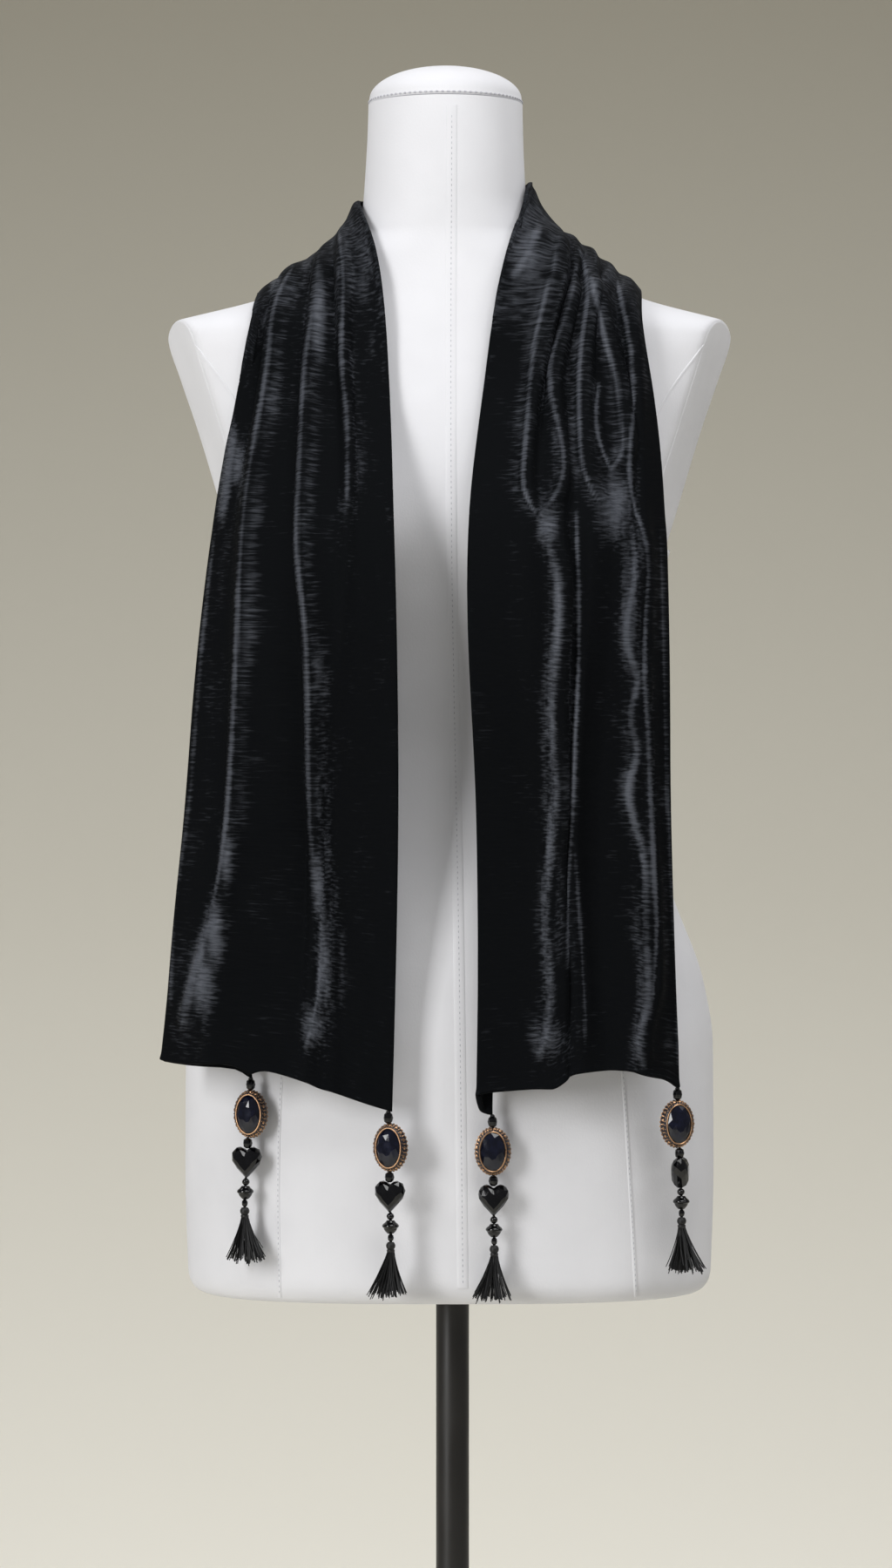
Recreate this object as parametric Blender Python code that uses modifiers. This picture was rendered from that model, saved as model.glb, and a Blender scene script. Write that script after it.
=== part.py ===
"""A gathered velvet scarf with a bead-and-tassel pendant on each corner, worn by a limbless dress form.

Metres, +Z up, the front faces -Y, and the origin is the middle of the stand's underside.
Tables are in millimetres, and MM turns them to metres.
"""

import math

import bmesh
import bpy
import numpy as np

MM = 0.001
FIT = 0.3

# Stand
BASE_RADIUS = 190.0
BASE_HEIGHT = 8.0
BASE_BEVEL = 2.0
COLLAR_RADIUS = 19.0
COLLAR_HEIGHT = 42.0
POLE_RADIUS = 10.8
POLE_X = 2.0

# Dress form
FORM_FLOOR = 678.0
FORM_FLOOR_ROUND = 16.0
NECK_TOP = 1453.0
CAP_RADIUS = 49.8
CAP_RIM = 3.5
CAP_HEIGHT = 24.5
CAP_CENTRE = (-2.6, 1.0)
ARM_PLATE = 3.0
ARM_ROUND = 3.0
ARM_HALF_WIDTH = 182.0
ARM_TOP = 1310.0
ARM_LEAN = 0.29
ARM_TURN = 0.27
ARM_BACK = 10.0
ARM_FLOOR = 1165.0
ARM_STEP_TALL = 30.0
ARM_STEP_WIDTH = 80.0
ARM_CENTRE = (3.0, 1245.0)
ARM_INSET = 2.5
ARM_BEVEL = 0.8
ARM_GAP = 0.5
CUT_DEPTH = 150.0
CUT_TOP = 1350.0
CUT_WIDTH = 320.0
BUST_HEIGHT = 1172.0
BUST_SPREAD = 78.0
BUST_RISE = 28.0
BUST_WIDTH = 40.0
BUST_TALL = 50.0
TORSO_SIDES = 32
RING_SPACING = 38.0
SHOULDER_ZONE = (1300.0, 1402.0)
SHOULDER_FINENESS = 4.5
FLOOR_RINGS = (0.0, 0.06, 0.25, 0.6)
# Columns: height, half width, depth in front, depth behind, middle, squareness
FORM_SECTIONS = (
    (660, 170, 97, 99, 0, 2.4),
    (760, 172.5, 99, 106, 0, 2.4),
    (840, 172, 98, 112, 0, 2.4),
    (880, 166, 94, 108, 0, 2.35),
    (930, 148, 85, 96, 0, 2.3),
    (980, 129, 75, 82, 0, 2.25),
    (1030, 118, 70, 76, 0, 2.2),
    (1080, 121, 74, 80, 0, 2.2),
    (1130, 134, 83, 88, 0, 2.2),
    (1180, 151, 90, 95, 0, 2.2),
    (1240, 171, 82, 97, 0, 2.15),
    (1280, 190, 71, 92, 0, 2.1),
    (1301, 203, 64, 85, 0, 2.05),
    (1328, 120.0, 57, 72, 2.0, 2.0),
    (1351, 88.5, 52, 63, 1.0, 2.0),
    (1369, 60, 50, 56, -1.5, 2.0),
    (1391, 53.2, 50, 52, -3, 2.0),
    (1460, 50.4, 49, 51, -2.6, 2.0),
)

# Scarf
WALL = 1.6
CLOTH_CLEAR = 2.5
SEAM = 0.7
NORMAL_STEPS = (0.2, 1.0)
HEM, WAIST, BUST, CHEST, YOKE, SHOULDER = range(6)
LEVEL_HEIGHTS = {WAIST: 1009.0, BUST: 1180.0, CHEST: 1265.0}
YOKE_HEIGHTS = (1350.0, 1308.0)
SHOULDER_Y = (-12.0, 6.0)
# Each level of the drape: how far forward its middle is, and how far back its sides curve
DRAPE = {HEM: (118, 30), WAIST: (119, 38), BUST: (121, 80)}
WRAP_START = 60.0
WRAP_SPAN = 90.0

# Each row is one line of the cloth from hem to shoulder, from the inner long edge to the outer one.
# x_* is its place across, out_* its height above the plain drape, or above the form at chest and yoke,
# and z_* its height above the floor.
FOLD_COLUMNS = (
    "name", "x_hem", "x_waist", "x_bust", "x_chest", "x_yoke", "x_top",
    "out_hem", "out_waist", "out_bust", "out_chest", "out_yoke", "z_hem", "z_top",
)
LEFT_FOLDS = (
    ("inner edge", -36, -32, -35, -38, -45, -58, 2, 4, 3, 8, 8, 803, 1386),
    ("inner flat", -50, -47, -44, -48, -50, -61, 0, 2, 1, 7, 6, 807, 1385),
    ("middle flat", -65, -62, -57, -60, -60, -65, -2, 0, 0, 7, 6, 812, 1379),
    ("ridge three", -74, -71, -64, -66, -67, -69, 1, 0, 4, 14, 13, 815, 1373),
    ("valley three", -82, -78, -72, -72, -72, -74, 4, 4, -1, 5, 5, 817, 1367),
    ("ridge two", -90, -85, -92, -88, -83, -80, 8, 9, 10, 13, 12, 820, 1362),
    ("valley two", -100, -90, -97, -93, -87, -85, 3, -3, -3, 4, 5, 822, 1357),
    ("middle plate", -128, -112, -112, -103, -95, -91, -3, 0, 1, 7, 8, 826, 1352),
    ("ridge one", -152, -136, -131, -117, -108, -98, 5, 8, 8, 13, 13, 830, 1348),
    ("valley one", -164, -142, -136, -121, -111, -103, 7, -3, -3, 4, 5, 831, 1342),
    ("outer strip", -176, -153, -145, -128, -117, -109, 2, 0, 1, 7, 7, 832, 1339),
    ("outer fold", -183, -166, -150, -132, -123, -116, -3, -2, -1, 5, 5, 833, 1333),
    ("fold behind", -182, -164, -148, -131, -124, -120, -8, -7, -6, 3, 3, 832, 1330),
    ("flap edge", -125, -143, -139, -127, -122, -123, -12, -10, -8, 3, 3, 822, 1327),
)
RIGHT_FOLDS = (
    ("flap edge", 27, 28, 24, 31, 43, 50, -9, -8, -7, 3, 3, 800, 1399),
    ("fold behind", 21, 19, 15, 25, 37, 52, -7, -6, -5, 3, 4, 802, 1397),
    ("inner fold", 18, 17, 13, 23, 35, 54, 0, 0, 0, 7, 7, 813, 1394),
    ("inner flat", 40, 42, 33, 40, 52, 60, -1, -1, 0, 7, 7, 816, 1385),
    ("ridge a", 56, 57, 48, 56, 71, 70, 0, 2, 7, 14, 14, 817, 1373),
    ("pocket", 64, 65, 58, 61, 75, 74, 3, 6, 2, 5, 6, 817, 1369),
    ("ridge b", 72, 71, 69, 67, 78, 80, 5, 10, 8, 13, 12, 821, 1367),
    ("valley b", 76, 75, 76, 75, 82, 86, 2, 4, -1, 5, 5, 825, 1361),
    ("ridge c", 83, 79, 89, 85, 91, 92, 5, 7, 6, 15, 15, 827, 1359),
    ("valley c", 100, 96, 101, 93, 94, 97, -3, -3, 2, 5, 6, 828, 1353),
    ("ridge d", 114, 113, 110, 109, 98, 105, 3, 4, 6, 11, 11, 826, 1349),
    ("valley d", 121, 123, 116, 113, 106, 110, 7, 9, 2, 6, 6, 823, 1342),
    ("ridge e", 129, 128, 122, 117, 115, 115, 3, 5, 7, 12, 12, 820, 1339),
    ("outer edge", 146, 139, 137, 128, 122, 123, 0, 0, 0, 4, 5, 816, 1331),
)
NAPE_TOP = 1397.0
NAPE_DROP = 150.0
NAPE_FOLDS = (3, 6, 9, 4, 8, 4, 9, 4, 9, 4, 8, 4, 7, 3)
QUARTER_IN = 0.7
QUARTER_RISE = 0.5

# Cloth grid: steps between neighbouring lines, and between neighbouring levels from hem to nape
ACROSS_STEPS = 2
FRONT_STEPS = (4, 4, 4, 4, 3)
NAPE_STEPS = (4, 3, 3, 4)

# Pendants
# Columns: name, x, y, top, turn in degrees, and the lean of its chain and of its tassel
PENDANTS = (
    ("left_outer", -126.0, -89.4, 822.0, -20.0, -0.05, 0.0),
    ("left_inner", -38.5, -119.4, 803.0, -20.0, 0.02, -0.10),
    ("right_inner", 27.0, -109.4, 799.8, 0.0, 0.015, -0.08),
    ("right_outer", 144.5, -91.0, 815.8, 18.0, 0.035, 0.13),
)
HEART_EDGE_ON = "right_outer"
TOP_BEAD = (6.9, 3.1)
MIDDLE_BEAD = (6.4, 3.1)
ROUND_BEAD = (4.3, 2.4)
END_BEAD = (4.5, 2.0)
BEAD_HOLE = 0.9
CAMEO_HALF_WIDTH = 11.2
CAMEO_HALF_HEIGHT = 15.0
CAMEO_DEPTH = 8.6
CAMEO_RING = (8.7, 12.9)
CAMEO_RECESS = (7.8, 12.0)
HEART_WIDTH = 19.4
HEART_HEIGHT = 19.8
HEART_DEPTH = 10.7
HEART_NOTCH = 1.2
SAUCER_HEIGHT = 8.5
SAUCER_RADIUS = 5.3
TASSEL_HEAD = 6.2
TASSEL_HEAD_RADIUS = 2.9
TASSEL_NECK_RADIUS = 2.3
TASSEL_CONE = 13.0
TASSEL_CONE_RADIUS = 7.0
TASSEL_SKIRT = 27.5
TASSEL_SKIRT_RADIUS = 13.0
STRAND_RADIUS = 0.55
STRAND_RINGS = ((1, 0.0), (5, 2.1), (9, 4.1), (13, 6.1))


def clear_scene():
    for obj in list(bpy.data.objects):
        bpy.data.objects.remove(obj, do_unlink=True)


def make_material(name, colour, roughness, metallic=0.0):
    material = bpy.data.materials.new(name)
    material.use_nodes = True
    shader = material.node_tree.nodes["Principled BSDF"]
    shader.inputs["Base Color"].default_value = (*colour, 1.0)
    shader.inputs["Roughness"].default_value = roughness
    shader.inputs["Metallic"].default_value = metallic
    material.diffuse_color = (*colour, 1.0)
    return material


def new_collection(name):
    collection = bpy.data.collections.new(name)
    bpy.context.scene.collection.children.link(collection)
    return collection


def place_mesh(name, mesh, material, collection, location=(0.0, 0.0, 0.0)):
    obj = bpy.data.objects.new(name, mesh)
    obj.location = [value * MM for value in location]
    mesh.materials.clear()
    mesh.materials.append(material)
    collection.objects.link(obj)
    return obj


def mesh_from(name, points, faces):
    mesh = bpy.data.meshes.new(name)
    mesh.from_pydata([tuple(point * MM) for point in np.asarray(points, float)], [], faces)
    mesh.validate()
    return mesh


def smooth_shade(obj, degrees=40):
    obj.data.shade_smooth()
    obj.data.set_sharp_from_angle(angle=math.radians(degrees))


def turned(name, profile, steps, material, collection, location=(0.0, 0.0, 0.0)):
    """A solid turned about Z from (radius, height) points that run from its top down to its bottom."""
    mesh = mesh_from(name, [(radius, 0.0, height) for radius, height in profile], [])
    mesh.edges.add(len(profile) - 1)
    for index, edge in enumerate(mesh.edges):
        edge.vertices = (index, index + 1)
    obj = place_mesh(name, mesh, material, collection, location)
    screw = obj.modifiers.new("Turn", "SCREW")
    screw.axis = "Z"
    screw.steps = steps
    screw.render_steps = steps
    screw.use_merge_vertices = True
    screw.merge_threshold = 0.00001
    screw.use_smooth_shade = True
    return obj


def loop_faces(rings, count, close_start=True, close_end=True):
    """Quads between neighbouring rings of count points, and one cap on each end."""
    faces = [
        (a * count + i, a * count + (i + 1) % count,
         (a + 1) * count + (i + 1) % count, (a + 1) * count + i)
        for a in range(rings - 1)
        for i in range(count)
    ]
    if close_start:
        faces.append(tuple(range(count))[::-1])
    if close_end:
        faces.append(tuple((rings - 1) * count + i for i in range(count)))
    return faces


def monotone(values, at):
    """Curves through values[0], values[1] and so on that never overshoot, read at the places in at."""
    values = np.asarray(values, float)
    steps = np.diff(values, axis=0)
    before, after = steps[:-1], steps[1:]
    rising = before * after > 0
    total = np.where(rising, before + after, 1.0)
    slopes = np.zeros_like(values)
    slopes[1:-1] = np.where(rising, 2 * before * after / total, 0.0)
    slopes[0], slopes[-1] = steps[0], steps[-1]
    first = np.clip(np.floor(at).astype(int), 0, len(values) - 2)
    t = (np.asarray(at) - first).reshape((-1,) + (1,) * (values.ndim - 1))
    return (
        values[first] * (2 * t**3 - 3 * t**2 + 1)
        + slopes[first] * (t**3 - 2 * t**2 + t)
        + values[first + 1] * (3 * t**2 - 2 * t**3)
        + slopes[first + 1] * (t**3 - t**2)
    )


def flowing(knots, values, at):
    """Natural cubic splines through values at knots, read at the places in at."""
    knots = np.asarray(knots, float)
    values = np.asarray(values, float)
    gaps = np.diff(knots)
    slopes = np.diff(values, axis=0) / gaps.reshape((-1,) + (1,) * (values.ndim - 1))
    system = np.eye(len(knots))
    bends = np.zeros_like(values)
    for i in range(1, len(knots) - 1):
        system[i, i - 1:i + 2] = gaps[i - 1], 2 * (gaps[i - 1] + gaps[i]), gaps[i]
        bends[i] = 6 * (slopes[i] - slopes[i - 1])
    bends = np.linalg.solve(system, bends.reshape(len(knots), -1)).reshape(values.shape)
    first = np.clip(np.searchsorted(knots, at, side="right") - 1, 0, len(knots) - 2)
    shape = (-1,) + (1,) * (values.ndim - 1)
    gap = gaps[first].reshape(shape)
    t = (np.asarray(at) - knots[first]).reshape(shape)
    rest = gap - t
    return (
        bends[first] * rest**3 / (6 * gap)
        + bends[first + 1] * t**3 / (6 * gap)
        + (values[first] / gap - bends[first] * gap / 6) * rest
        + (values[first + 1] / gap - bends[first + 1] * gap / 6) * t
    )


def form_section(height):
    """The form's table row, read at each height between rows without overshoot."""
    table = np.array(FORM_SECTIONS, float)
    place = np.interp(height, table[:, 0], np.arange(len(table)))
    rows = monotone_by_height(table, place, height)
    return rows[..., 1], rows[..., 2], rows[..., 3], rows[..., 4], rows[..., 5]


def monotone_by_height(table, place, height):
    heights = table[:, 0]
    gaps = np.diff(heights)
    steps = np.diff(table, axis=0) / gaps[:, None]
    before, after = steps[:-1], steps[1:]
    rising = before * after > 0
    slopes = np.zeros_like(table)
    slopes[1:-1] = np.where(rising, 2 * before * after / np.where(rising, before + after, 1.0), 0.0)
    first = np.clip(np.floor(place).astype(int), 0, len(table) - 2)
    gap = gaps[first][..., None]
    t = ((height - heights[first])[..., None]) / gap
    t = np.clip(t, 0.0, 1.0)
    return (
        table[first] * (2 * t**3 - 3 * t**2 + 1)
        + slopes[first] * gap * (t**3 - 2 * t**2 + t)
        + table[first + 1] * (3 * t**2 - 2 * t**3)
        + slopes[first + 1] * gap * (t**3 - t**2)
    )


def soft_max(a, b, rounding):
    overlap = np.maximum(rounding - np.abs(a - b), 0.0)
    return np.maximum(a, b) + overlap**2 / (4 * rounding)


def arm_edge(y, z):
    """How far out one armhole's flat face is: it leans in below and turns to the front."""
    return ARM_HALF_WIDTH - ARM_LEAN * (ARM_TOP - z) + ARM_TURN * (y - ARM_BACK)


def arm_gap(points, side):
    """Distance outside one armhole's face, which opens away below the armhole."""
    x, y, z = points[..., 0], points[..., 1], points[..., 2]
    opened = ARM_STEP_WIDTH * np.clip((ARM_FLOOR - z) / ARM_STEP_TALL, 0.0, 1.0)
    edge = arm_edge(y, np.maximum(z, ARM_FLOOR)) + opened
    return (side * x - edge) / math.sqrt(1 + ARM_LEAN**2 + ARM_TURN**2)


def body_gap(points):
    """Distance outside the form along the level ray, before its armholes and floor are cut."""
    x, y, z = points[..., 0], points[..., 1], points[..., 2]
    half_width, front, back, centre, squareness = form_section(z)
    x = x - centre
    bust = BUST_RISE * np.exp(-((z - BUST_HEIGHT) / BUST_TALL) ** 2) * (
        np.exp(-((x - BUST_SPREAD) / BUST_WIDTH) ** 2) + np.exp(-((x + BUST_SPREAD) / BUST_WIDTH) ** 2)
    )
    depth = np.where(y < 0, front + bust, back)
    reach = (np.abs(x / half_width) ** squareness + np.abs(y / depth) ** squareness) ** (1 / squareness)
    distance = np.hypot(x, y)
    return distance - distance / np.maximum(reach, 1e-6)


def form_gap(points, armholes=True):
    """Distance outside the whole form, with or without its armhole faces."""
    points = np.asarray(points, float)
    gap = body_gap(points)
    if armholes:
        gap = soft_max(gap, arm_gap(points, 1), ARM_ROUND)
        gap = soft_max(gap, arm_gap(points, -1), ARM_ROUND)
    return soft_max(gap, FORM_FLOOR - points[..., 2], FORM_FLOOR_ROUND)


def form_normal(points):
    """The direction and rate in which form_gap grows."""
    step = 0.5
    rates = np.stack(
        [
            (form_gap(points + step * axis) - form_gap(points - step * axis)) / (2 * step)
            for axis in np.eye(3)
        ],
        axis=-1,
    )
    rate = np.maximum(np.linalg.norm(rates, axis=-1, keepdims=True), 1e-6)
    return rates / rate, rate[..., 0]


def keep_clear(points, clear):
    """Moves what is nearer to the form than clear straight out to that distance."""
    points = np.array(points, float)
    for _ in range(4):
        normal, rate = form_normal(points)
        short = np.maximum(clear - form_gap(points) / rate, 0.0)
        points += normal * np.minimum(short, 12.0)[..., None]
    return points


def on_form(x, z, out, side):
    """The point above or behind the form at x and z, out from its surface. side is -1 in front, 1 behind."""
    x, z, out = (np.asarray(value, float) for value in (x, z, out))
    inner, outer = np.zeros_like(x), np.full_like(x, 170.0)
    for _ in range(30):
        middle = (inner + outer) / 2
        inside = form_gap(np.stack([x, side * middle, z], axis=-1)) < 0
        inner, outer = np.where(inside, middle, inner), np.where(inside, outer, middle)
    surface = np.stack([x, side * inner, z], axis=-1)
    normal, _ = form_normal(surface)
    return surface + normal * out[..., None]


def ring_radii(height, angles):
    """Where level rays from the form's axis leave the form, by halving. The armholes are cut later."""
    inner, outer = np.zeros(len(angles)), np.full(len(angles), 260.0)
    ray = np.stack([np.cos(angles), np.sin(angles), np.zeros(len(angles))], axis=-1)
    for _ in range(32):
        middle = (inner + outer) / 2
        inside = form_gap(ray * middle[:, None] + (0, 0, height), armholes=False) <= 0
        inner, outer = np.where(inside, middle, inner), np.where(inside, outer, middle)
    return ray[:, :2] * inner[:, None]


def ring_heights():
    """Heights from floor to neck, evenly spaced along the form's side and closer at the shoulders."""
    fine = np.linspace(FORM_FLOOR, NECK_TOP, 600)
    half_width = form_section(fine)[0]
    lengths = np.hypot(np.diff(fine), np.diff(half_width))
    low, high = SHOULDER_ZONE
    lengths *= np.where((fine[1:] > low) & (fine[1:] < high), SHOULDER_FINENESS, 1.0)
    along = np.concatenate([[0], np.cumsum(lengths)])
    heights = np.interp(np.linspace(0, along[-1], int(along[-1] / RING_SPACING)), along, fine)
    rounded = FORM_FLOOR + FORM_FLOOR_ROUND * np.array(FLOOR_RINGS)
    return np.concatenate([rounded, heights[heights > rounded[-1] + RING_SPACING / 3]])


def arm_cutter(name, side, helpers):
    """The block beyond one armhole's face, set in by the plate that closes it."""
    points = []
    for y in (-CUT_DEPTH, CUT_DEPTH):
        inset = ARM_PLATE + ARM_GAP
        top = arm_edge(y, CUT_TOP) - inset
        bottom = arm_edge(y, ARM_FLOOR) - inset
        step = ARM_FLOOR - ARM_STEP_TALL
        points += [
            (side * x, y, z)
            for x, z in (
                (top, CUT_TOP), (bottom, ARM_FLOOR), (bottom + ARM_STEP_WIDTH, step),
                (CUT_WIDTH, step), (CUT_WIDTH, CUT_TOP),
            )
        ]
    mesh = mesh_from(name, points, loop_faces(2, 5))
    face_outwards(mesh)
    return place_helper(name, mesh, helpers)


def place_helper(name, mesh, helpers, location=(0.0, 0.0, 0.0)):
    obj = bpy.data.objects.new(name, mesh)
    obj.location = [value * MM for value in location]
    helpers.objects.link(obj)
    obj.hide_render = True
    obj.display_type = "WIRE"
    return obj


def add_boolean(obj, other, operation):
    modifier = obj.modifiers.new(other.name, "BOOLEAN")
    modifier.operation = operation
    modifier.solver = "EXACT"
    modifier.object = other


def build_torso(material, collection, helpers):
    angles = (np.arange(TORSO_SIDES) + 0.5) * 2 * math.pi / TORSO_SIDES
    heights = ring_heights()
    points = [(x, y, z) for z in heights for x, y in ring_radii(z, angles)]
    faces = loop_faces(len(heights), TORSO_SIDES)
    obj = place_mesh("torso", mesh_from("torso", points, faces), material, collection)
    for name, side in (("armhole_left", -1), ("armhole_right", 1)):
        add_boolean(obj, arm_cutter(name, side, helpers), "DIFFERENCE")
    smooth_shade(obj)


def build_neck_cap(material, collection):
    base = NECK_TOP + FIT
    dome = CAP_HEIGHT - CAP_RIM
    arc = [
        (CAP_RADIUS * math.sin(angle), base + CAP_RIM + dome * math.cos(angle))
        for angle in (math.radians(15 * step) for step in range(7))
    ]
    turned("neck_cap", [*arc, (CAP_RADIUS, base), (0.0, base)], 28, material, collection, (*CAP_CENTRE, 0.0))


def build_arm_cap(name, side, material, collection):
    """The flat oval plate that closes one armhole, cut a little inside the form's outline there."""
    count = 28
    angles = np.arange(count) * 2 * math.pi / count
    rays = np.stack([np.cos(angles), np.sin(angles)], axis=-1)

    def on_face(distance):
        y, z = (ARM_CENTRE + rays * distance[:, None]).T
        return np.stack([arm_edge(y, z), y, z], axis=-1)

    inner, outer = np.zeros(count), np.full(count, 140.0)
    for _ in range(30):
        middle = (inner + outer) / 2
        face = on_face(middle)
        inside = (body_gap(face) < -ARM_INSET) & (face[:, 2] > ARM_FLOOR + ARM_INSET)
        inner, outer = np.where(inside, middle, inner), np.where(inside, outer, middle)
    rim = on_face(inner)
    bevelled = on_face(inner - ARM_BEVEL)
    rings = np.concatenate([rim - (ARM_PLATE, 0, 0), rim - (ARM_BEVEL, 0, 0), bevelled])
    rings[:, 0] *= side
    obj = place_mesh(name, mesh_from(name, rings, loop_faces(3, count)), material, collection)
    face_outwards(obj.data)
    smooth_shade(obj)


def face_outwards(mesh):
    work = bmesh.new()
    work.from_mesh(mesh)
    bmesh.ops.recalc_face_normals(work, faces=work.faces)
    work.to_mesh(mesh)
    work.free()


def build_stand(material, collection):
    base = [
        (0.0, BASE_HEIGHT),
        (BASE_RADIUS - BASE_BEVEL, BASE_HEIGHT),
        (BASE_RADIUS, BASE_HEIGHT - BASE_BEVEL),
        (BASE_RADIUS, 0.0),
        (0.0, 0.0),
    ]
    turned("stand_base", base, 48, material, collection)
    foot = BASE_HEIGHT + FIT
    top = foot + COLLAR_HEIGHT
    collar = [
        (0.0, top),
        (POLE_RADIUS + 2.0, top),
        (POLE_RADIUS + 3.5, top - 1.5),
        (COLLAR_RADIUS - 2.0, foot + 6.0),
        (COLLAR_RADIUS, foot + 5.0),
        (COLLAR_RADIUS, foot),
        (0.0, foot),
    ]
    turned("stand_collar", collar, 20, material, collection, (POLE_X, 0.0, 0.0))
    pole_foot = top + FIT
    pole_top = FORM_FLOOR - FIT
    pole = [(0.0, pole_top), (POLE_RADIUS, pole_top), (POLE_RADIUS, pole_foot), (0.0, pole_foot)]
    turned("stand_pole", pole, 20, material, collection, (POLE_X, 0.0, 0.0))


def drape_y(x, level):
    """How far forward the cloth hangs at x: level with its middle, and curved back towards the sides."""
    front, wrap = DRAPE[level]
    beyond = np.maximum(np.abs(x) - WRAP_START, 0.0) / WRAP_SPAN
    return -front + wrap * beyond**2


def front_levels(folds):
    """The control points of one front panel, for each level from hem to shoulder and each fold line."""
    rows = [dict(zip(FOLD_COLUMNS, row)) for row in folds]
    column = {key: np.array([row[key] for row in rows], float) for key in FOLD_COLUMNS[1:]}
    levels = []
    for level, word in ((HEM, "hem"), (WAIST, "waist"), (BUST, "bust")):
        x = column["x_" + word]
        z = column["z_hem"] if level == HEM else np.full(len(x), LEVEL_HEIGHTS[level])
        levels.append(np.stack([x, drape_y(x, level) - column["out_" + word], z], axis=-1))
    chest_height = np.full(len(folds), LEVEL_HEIGHTS[CHEST])
    levels.append(on_form(column["x_chest"], chest_height, column["out_chest"], -1))
    yoke_height = np.linspace(*YOKE_HEIGHTS, len(folds))
    levels.append(on_form(column["x_yoke"], yoke_height, column["out_yoke"], -1))
    y = np.linspace(*SHOULDER_Y, len(folds))
    levels.append(np.stack([column["x_top"], y, column["z_top"]], axis=-1))
    return levels


def nape_levels(left_top, right_top):
    """The control points round the back of the neck, from one shoulder to the other."""
    lines = np.linspace(0.0, 1.0, len(left_top))
    drop = NAPE_TOP - NAPE_DROP * lines
    folds = np.array(NAPE_FOLDS, float)
    levels = []
    for top in (left_top, None, right_top):
        if top is None:
            levels.append(on_form(np.zeros(len(drop)), drop, folds, 1))
        else:
            height = drop + QUARTER_RISE * (top[:, 2] - drop)
            levels.append(on_form(top[:, 0] * QUARTER_IN, height, folds, 1))
    return levels


def scarf_levels():
    left = front_levels(LEFT_FOLDS)
    right = front_levels(RIGHT_FOLDS)
    levels = [*left, *nape_levels(left[-1], right[-1]), *right[::-1]]
    return np.array(levels)


def level_places(levels):
    """How far each level is along the cloth from its first hem, on average over its lines."""
    gaps = np.linalg.norm(np.diff(levels, axis=0), axis=-1).mean(axis=1)
    return np.concatenate([[0.0], np.cumsum(gaps)])


def cloth_surface(across, along):
    """The cloth's middle surface at line numbers across and distances along."""
    levels = scarf_levels()
    lines = monotone(np.swapaxes(levels, 0, 1), across)
    surface = flowing(level_places(levels), np.swapaxes(lines, 0, 1), along)
    return keep_clear(surface, CLOTH_CLEAR + WALL / 2)


def cloth_normals(across, along):
    """Unit normals of the cloth's middle surface, from points a short step away on each side."""
    step_across, step_along = NORMAL_STEPS
    forward = cloth_surface(across, along + step_along) - cloth_surface(across, along - step_along)
    sideways = cloth_surface(across + step_across, along) - cloth_surface(across - step_across, along)
    normal = np.cross(forward, sideways)
    return normal / np.linalg.norm(normal, axis=-1, keepdims=True)


def cloth_wall(name, across, along, material, collection):
    """A wall of the cloth's thickness on both sides of its middle surface, closed round its edges."""
    grid = cloth_surface(across, along)
    offset = cloth_normals(across, along) * WALL / 2
    rows, columns = grid.shape[:2]
    points = np.concatenate([(grid + offset).reshape(-1, 3), (grid - offset).reshape(-1, 3)])
    back = rows * columns

    def at(row, column):
        return row * columns + column

    faces = []
    for row in range(rows - 1):
        for column in range(columns - 1):
            quad = (at(row, column), at(row + 1, column), at(row + 1, column + 1), at(row, column + 1))
            faces.append(quad)
            faces.append(tuple(back + corner for corner in reversed(quad)))
    border = (
        [at(0, column) for column in range(columns)]
        + [at(row, columns - 1) for row in range(1, rows)]
        + [at(rows - 1, column) for column in range(columns - 2, -1, -1)]
        + [at(row, 0) for row in range(rows - 2, 0, -1)]
    )
    for here, following in zip(border, border[1:] + border[:1]):
        faces.append((here, following, back + following, back + here))
    obj = place_mesh(name, mesh_from(name, points, faces), material, collection)
    face_outwards(obj.data)
    smooth_shade(obj, 60)


def spread_steps(stops, steps):
    """Places between neighbouring stops, with the given number of steps in each interval."""
    places = [
        np.linspace(start, end, count, endpoint=False)
        for start, end, count in zip(stops, stops[1:], steps)
    ]
    return np.concatenate([*places, stops[-1:]])


def build_scarf(material, collection):
    stops = level_places(scarf_levels())
    lines = len(LEFT_FOLDS)
    across = np.linspace(0, lines - 1, (lines - 1) * ACROSS_STEPS + 1)
    seam = SEAM / 2
    last = len(stops) - 1 - SHOULDER
    left = spread_steps(np.append(stops[:SHOULDER], stops[SHOULDER] - seam), FRONT_STEPS)
    nape = np.concatenate([[stops[SHOULDER] + seam], stops[SHOULDER + 1:last], [stops[last] - seam]])
    nape = spread_steps(nape, NAPE_STEPS)
    right = spread_steps(np.append(stops[last] + seam, stops[last + 1:]), FRONT_STEPS[::-1])
    cloth_wall("scarf_front_left", across, left, material, collection)
    cloth_wall("scarf_neck", across, nape, material, collection)
    cloth_wall("scarf_front_right", across, right, material, collection)


def oval_turned(name, rings, count, material, collection, location, turn):
    """A solid through level ovals of (half width, half height, depth), from back to front, that faces -Y."""
    angles = np.arange(count) * 2 * math.pi / count
    points = [
        (half_width * math.cos(angle), -depth, half_height * math.sin(angle))
        for half_width, half_height, depth in rings
        for angle in angles
    ]
    mesh = mesh_from(name, points, loop_faces(len(rings), count))
    face_outwards(mesh)
    obj = place_mesh(name, mesh, material, collection, location)
    obj.rotation_euler.z = math.radians(turn)
    smooth_shade(obj)


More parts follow.
